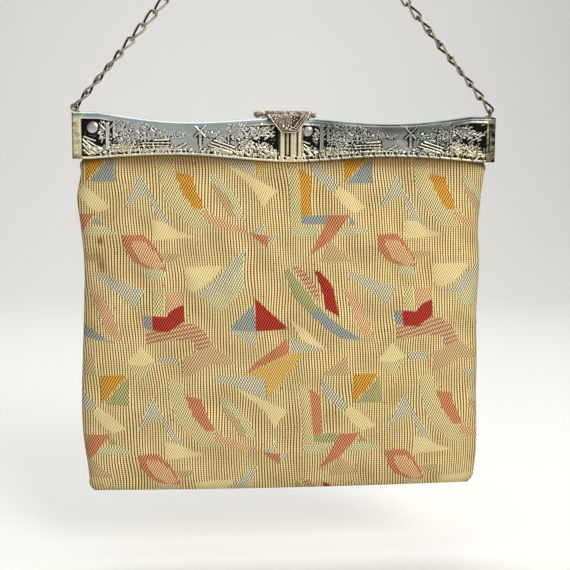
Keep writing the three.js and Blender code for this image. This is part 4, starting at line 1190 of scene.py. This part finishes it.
def add_clasp(material):
    """The flap, a plate carried from its barrel over the frame's top and down to its tip, and its pin."""
    share = np.linspace(-1, 1, 140)
    bend, front, top = FLAP_FACE["bend"], FLAP_FACE["y"], FLAP["top"]
    roof = np.linspace(BARREL["y"], front + bend, 24)
    turn = np.linspace(0, np.pi / 2, 10)[1:]
    fall = np.linspace(bend, FLAP["tall"], 70)[1:]
    path_y = np.concatenate([roof, front + bend * (1 - np.sin(turn)), np.full(len(fall), front)])
    path_below = np.concatenate([np.zeros(len(roof)), bend * (1 - np.cos(turn)), fall])
    lean = np.concatenate([np.zeros(len(roof)), turn, np.full(len(fall), np.pi / 2)])[:, None]
    half = flap_half(path_below)[:, None]
    across = half * share
    below = np.broadcast_to(path_below[:, None], across.shape)
    on_face = smooth_step(lean, 1.0, 1.5)
    rise = 1.3 * flap_relief(across, below, half) * on_face
    rise -= 0.3 * smooth_step(np.abs(share), 0.985, 1.0)
    out_y, out_z = -np.sin(lean), np.cos(lean)
    y, z = path_y[:, None] + 0 * across, top - below
    outer = np.stack([across, y + rise * out_y, z + rise * out_z], axis=-1)
    inner_z = np.maximum(z - FLAP_FACE["thick"] * out_z, np.where(lean < 0.1, top - 1.2, -1e9))
    inner = np.stack([across, y - FLAP_FACE["thick"] * out_y, inner_z], axis=-1)
    plate = sweep(np.concatenate([outer, inner[:, ::-1]], axis=1))
    cut = FLAP_AGED["level"] - FLAP_AGED["hollows"] * (rise - soften(rise, (3, 4)))
    cut = cut - FLAP_AGED["height"] * rise
    hollow_face = np.clip(cut, -1, 1) * on_face + TARNISH["flap_top"] * (1 - on_face)
    hollow = np.concatenate([hollow_face, np.full(across.shape, TARNISH["flap_top"])], axis=1).reshape(-1)
    values = {"hollow": hollow, "warm": np.full(len(hollow), 0.5)}
    middle = (0, BARREL["y"], BARREL["z"])
    barrel = lathe(bevelled(-FLAP["half"], FLAP["half"], BARREL["radius"], 0.25), middle, 0, 36)
    points, faces, values = with_values(plate, values, [barrel], TARNISH["flap_top"])
    flap = add_piece("cast_clasp_flap", points, faces, material, "clasp", 50, values)
    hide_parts("clasp_flap")

    turn = np.linspace(-np.pi / 2, np.pi / 2, 24)
    reach = PIN_BALL["radius"] - 0.16 + 0.16 * np.cos(6 * turn)
    ball = np.stack([PIN_BALL["x"] + PIN_BALL["radius"] * np.sin(turn), reach * np.cos(turn)], axis=1)
    low, high, cap = PIN_CAP["from"], PIN_CAP["to"], PIN_CAP["radius"]
    tail = [(low, 0), (low, cap - 0.2), (low + 0.2, cap), (high - 0.4, cap), (high, cap - 0.5), (high, 0)]
    start, end = PIN_BALL["x"] + 1.0, low + 0.5
    rod = [(start, 0), (start, PIN_RADIUS), (end, PIN_RADIUS), (end, 0)]
    points, faces = joined([lathe(profile, middle, 0) for profile in (ball, rod, tail)])
    values = even(points, "pin", 0.5)
    pin = add_piece("round_clasp_pin", points, faces, material, "root", 50, values)
    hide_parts("clasp_pin")


def curb_link(middle, along, pitch, turn):
    """A long oval of round wire, twisted along its length so that its ends stand square to each other."""
    half = pitch / 2 + (LINK["wire"] + LINK["clear"]) / 2
    straight = half - LINK["half_width"]
    depth_wise = unit(np.array([0, 1, 0]) - along[1] * along)
    side_wise = np.cross(depth_wise, along)
    bend = np.linspace(-np.pi / 2, np.pi / 2, 15)
    run = np.linspace(-straight, straight, 9)[1:-1]
    a = np.concatenate([straight + LINK["half_width"] * np.cos(bend), run[::-1]])
    b = np.concatenate([LINK["half_width"] * np.sin(bend), np.full(len(run), LINK["half_width"])])
    a, b = np.concatenate([a, -a]), np.concatenate([b, -b])
    angle = turn + np.pi / 2 * a / pitch
    lateral = np.cos(angle)[:, None] * side_wise + np.sin(angle)[:, None] * depth_wise
    line = middle + a[:, None] * along + b[:, None] * lateral
    ahead = unit(np.roll(line, -1, axis=0) - np.roll(line, 1, axis=0))
    out = np.sign(a)[:, None] * np.clip(np.abs(a) - straight, 0, None)[:, None] * along + b[:, None] * lateral
    out = unit(out - np.sum(out * ahead, axis=1, keepdims=True) * ahead)
    return closed_ring(circles(line, out, np.cross(ahead, out), LINK["wire"] / 2, WIRE_SIDES))


def chain_ends(side):
    """Where one side of the chain leaves the middle link, and where it takes hold of its eye."""
    top = np.array([side * MIDDLE_PITCH / 2, 0, LINK["half_width"] + LINK["wire"] / 2])
    centre = np.array([side * EYE["x"], EYE["y"], EYE["z"]])
    along = unit(top - centre)
    hold = unit(along * ((1, 0, 1) if side < 0 else (0, 1, 1)))
    return top, centre + EYE["ring"] * hold - (LINK["wire"] + LINK["clear"]) / 2 * along


def add_chain(material):
    """The links from the left eye over the middle to the right eye, turning slowly."""
    left_top, left_low = chain_ends(-1)
    right_top, right_low = chain_ends(1)
    shares = np.arange(LINKS_A_SIDE) / (LINKS_A_SIDE - 1)
    wrung = {side: turn * np.exp(-((shares - at) / reach) ** 2) for side, (at, reach, turn) in TWIST.items()}
    left_turns = wrung["left"] - np.pi / 4 * (1 - shares)
    right_turns = wrung["right"] - np.pi / 4 * shares
    links = []
    for start, end, turns in (
        (left_low, left_top, left_turns),
        (left_top, right_top, [0.0]),
        (right_top, right_low, right_turns),
    ):
        pitch = np.linalg.norm(end - start) / len(turns)
        for step, turn in enumerate(turns):
            middle = start + (end - start) * (step + 0.5) / len(turns)
            links.append(curb_link(middle, unit(end - start), pitch, turn))
    points, faces = joined(links)
    # Darker on the inner side of each wire, towards the link's middle: tarnish there and painted shade
    ring = np.linspace(0, TURN, WIRE_SIDES, endpoint=False)
    hollow = np.resize(TARNISH["wire"] - 0.3 * np.cos(ring), len(points))
    values = {"hollow": hollow, "warm": np.full(len(points), 0.3)}
    chain = add_piece("curb_chain", points, faces, material, values=values)
    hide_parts(*[f"chain_link_{i + 1:02d}" for i in range(len(links))])


def add_eyes(material):
    """A ring on a collared shank at each top corner: the left one faces the front, the right one the side."""
    around = np.linspace(0, TURN, 32, endpoint=False)[:, None]
    ring = np.linspace(0, TURN, 12, endpoint=False)[None]
    reach = EYE["ring"] + EYE["wire"] / 2 * np.cos(ring)
    flat_a, flat_b = reach * np.cos(around), reach * np.sin(around)
    thick = EYE["wire"] / 2 * np.sin(ring) + 0 * around
    for side, name in ((-1, "chain_eye_left"), (1, "chain_eye_right")):
        order = [flat_a, thick, flat_b] if side < 0 else [thick, flat_a, flat_b]
        torus = closed_ring(np.stack(order, axis=-1) + (side * EYE["x"], EYE["y"], EYE["z"]))
        shank = lathe(EYE_SHANK, (side * EYE["foot"], EYE["y"], FRAME_TOP), 2)
        points, faces = joined([torus, shank])
        values = even(points, "eye", 0.25)
        piece = add_piece(f"round_{name}", points, faces, material, sharp=50, values=values)
        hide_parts(name)


def add_stitches(material):
    """A slanting stitch at each hole of the right half: out of it, over the lower edge, into the cloth."""
    s = np.linspace(0, 1, 14)
    across, y, rise = (through(s, STITCH[:, 0], STITCH[:, k]) for k in (1, 2, 3))
    threads = []
    for hole in sewing_holes():
        if hole > PANEL["right"]:
            low = edge_height(np.array(hole), LOW_EDGE)
            threads.append(tube(np.stack([hole + across, y, low + rise], axis=1), STITCH_RADIUS))
    points, faces = joined(threads)
    add_piece("sewing_stitches", points, faces, material)


def placed(axes, place):
    """A matrix from three axes as columns and a place in metres."""
    return Matrix(np.block([[axes, np.array(place)[:, None]], [np.array([[0, 0, 0, 1]])]]).tolist())


def add_stage():
    """A pale floor that bends up into a wall behind along a quarter circle, and soft lights."""
    s = Shader("studio_paper")
    s.set("Base Color", s.mix(s.noise("paper", 2), *PAPER))
    s.set("Roughness", 0.9)
    turn = np.linspace(0, np.pi / 2, 16)
    bend, level = FLOOR["bend"], FLOOR["level"]
    risen = FLOOR["bend_from"] + bend * np.sin(turn)
    y = np.concatenate([[FLOOR["front"]], risen, risen[-1:]])
    z = np.concatenate([[level], level + bend * (1 - np.cos(turn)), [FLOOR["top"]]])
    x = np.linspace(-FLOOR["half"], FLOOR["half"], 3)
    grid = np.stack(np.broadcast_arrays(x[None], y[:, None], z[:, None]), axis=-1)
    mesh = smooth_mesh("studio_floor", grid.reshape(-1, 3), grid_faces(len(y), len(x)), s.material)
    shown("studio_floor", mesh)

    world = bpy.data.worlds.new("studio")
    world.use_nodes = True
    sky = world.node_tree.nodes["Background"].inputs
    sky["Color"].default_value = colour(*SKY["colour"])
    sky["Strength"].default_value = SKY["strength"]
    bpy.context.scene.world = world

    for name, place, aim, size, power, tint in LIGHTS:
        lamp = bpy.data.lights.new(name, "AREA")
        lamp.size, lamp.energy, lamp.color = size, power, tint
        holder = shown(name, lamp)
        back = unit(np.array(place) - np.array(aim))
        right = unit(np.cross((0, 0, 1), back))
        holder.matrix_world = placed(np.stack([right, np.cross(back, right), back], axis=1), place)


def add_camera():
    """The camera at the photo's viewing angle, aimed at the middle of the pouch."""
    a, e, r = (np.radians(VIEW[key]) for key in ("azimuth", "elevation", "roll"))
    back = np.array([np.sin(a) * np.cos(e), -np.cos(a) * np.cos(e), np.sin(e)])
    right = np.array([np.cos(a), np.sin(a), 0])
    up = np.cross(back, right)
    turned = np.stack([np.cos(r) * right + np.sin(r) * up, np.cos(r) * up - np.sin(r) * right, back], axis=1)
    place = (np.array(VIEW["aim"]) + VIEW["distance"] * back) * METRES
    lens = bpy.data.cameras.new("camera")
    lens.lens, lens.sensor_width = VIEW["lens"], VIEW["sensor"]
    lens.clip_start, lens.clip_end = 0.01, 30
    camera = shown("camera", lens)
    camera.matrix_world = placed(turned, place)
    bpy.context.scene.camera = camera


tapestry = cloth_material()
front_cloth = cloth_panel("tapestry_front", -1, FRONT_FOLDS, FRONT_START, 3, tapestry)
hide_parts("pouch")
cloth_panel("tapestry_back", 1, BACK_FOLDS, BACK_START, 11, tapestry)
silver, bronze, wire = (metal_material(name) for name in METALS)
add_rails(silver, bronze)
add_rivets(silver)
add_clasp(bronze)
add_chain(wire)
add_eyes(wire)
add_stitches(thread_material())
add_stage()
add_camera()
bpy.context.scene.view_settings.view_transform = "Standard"
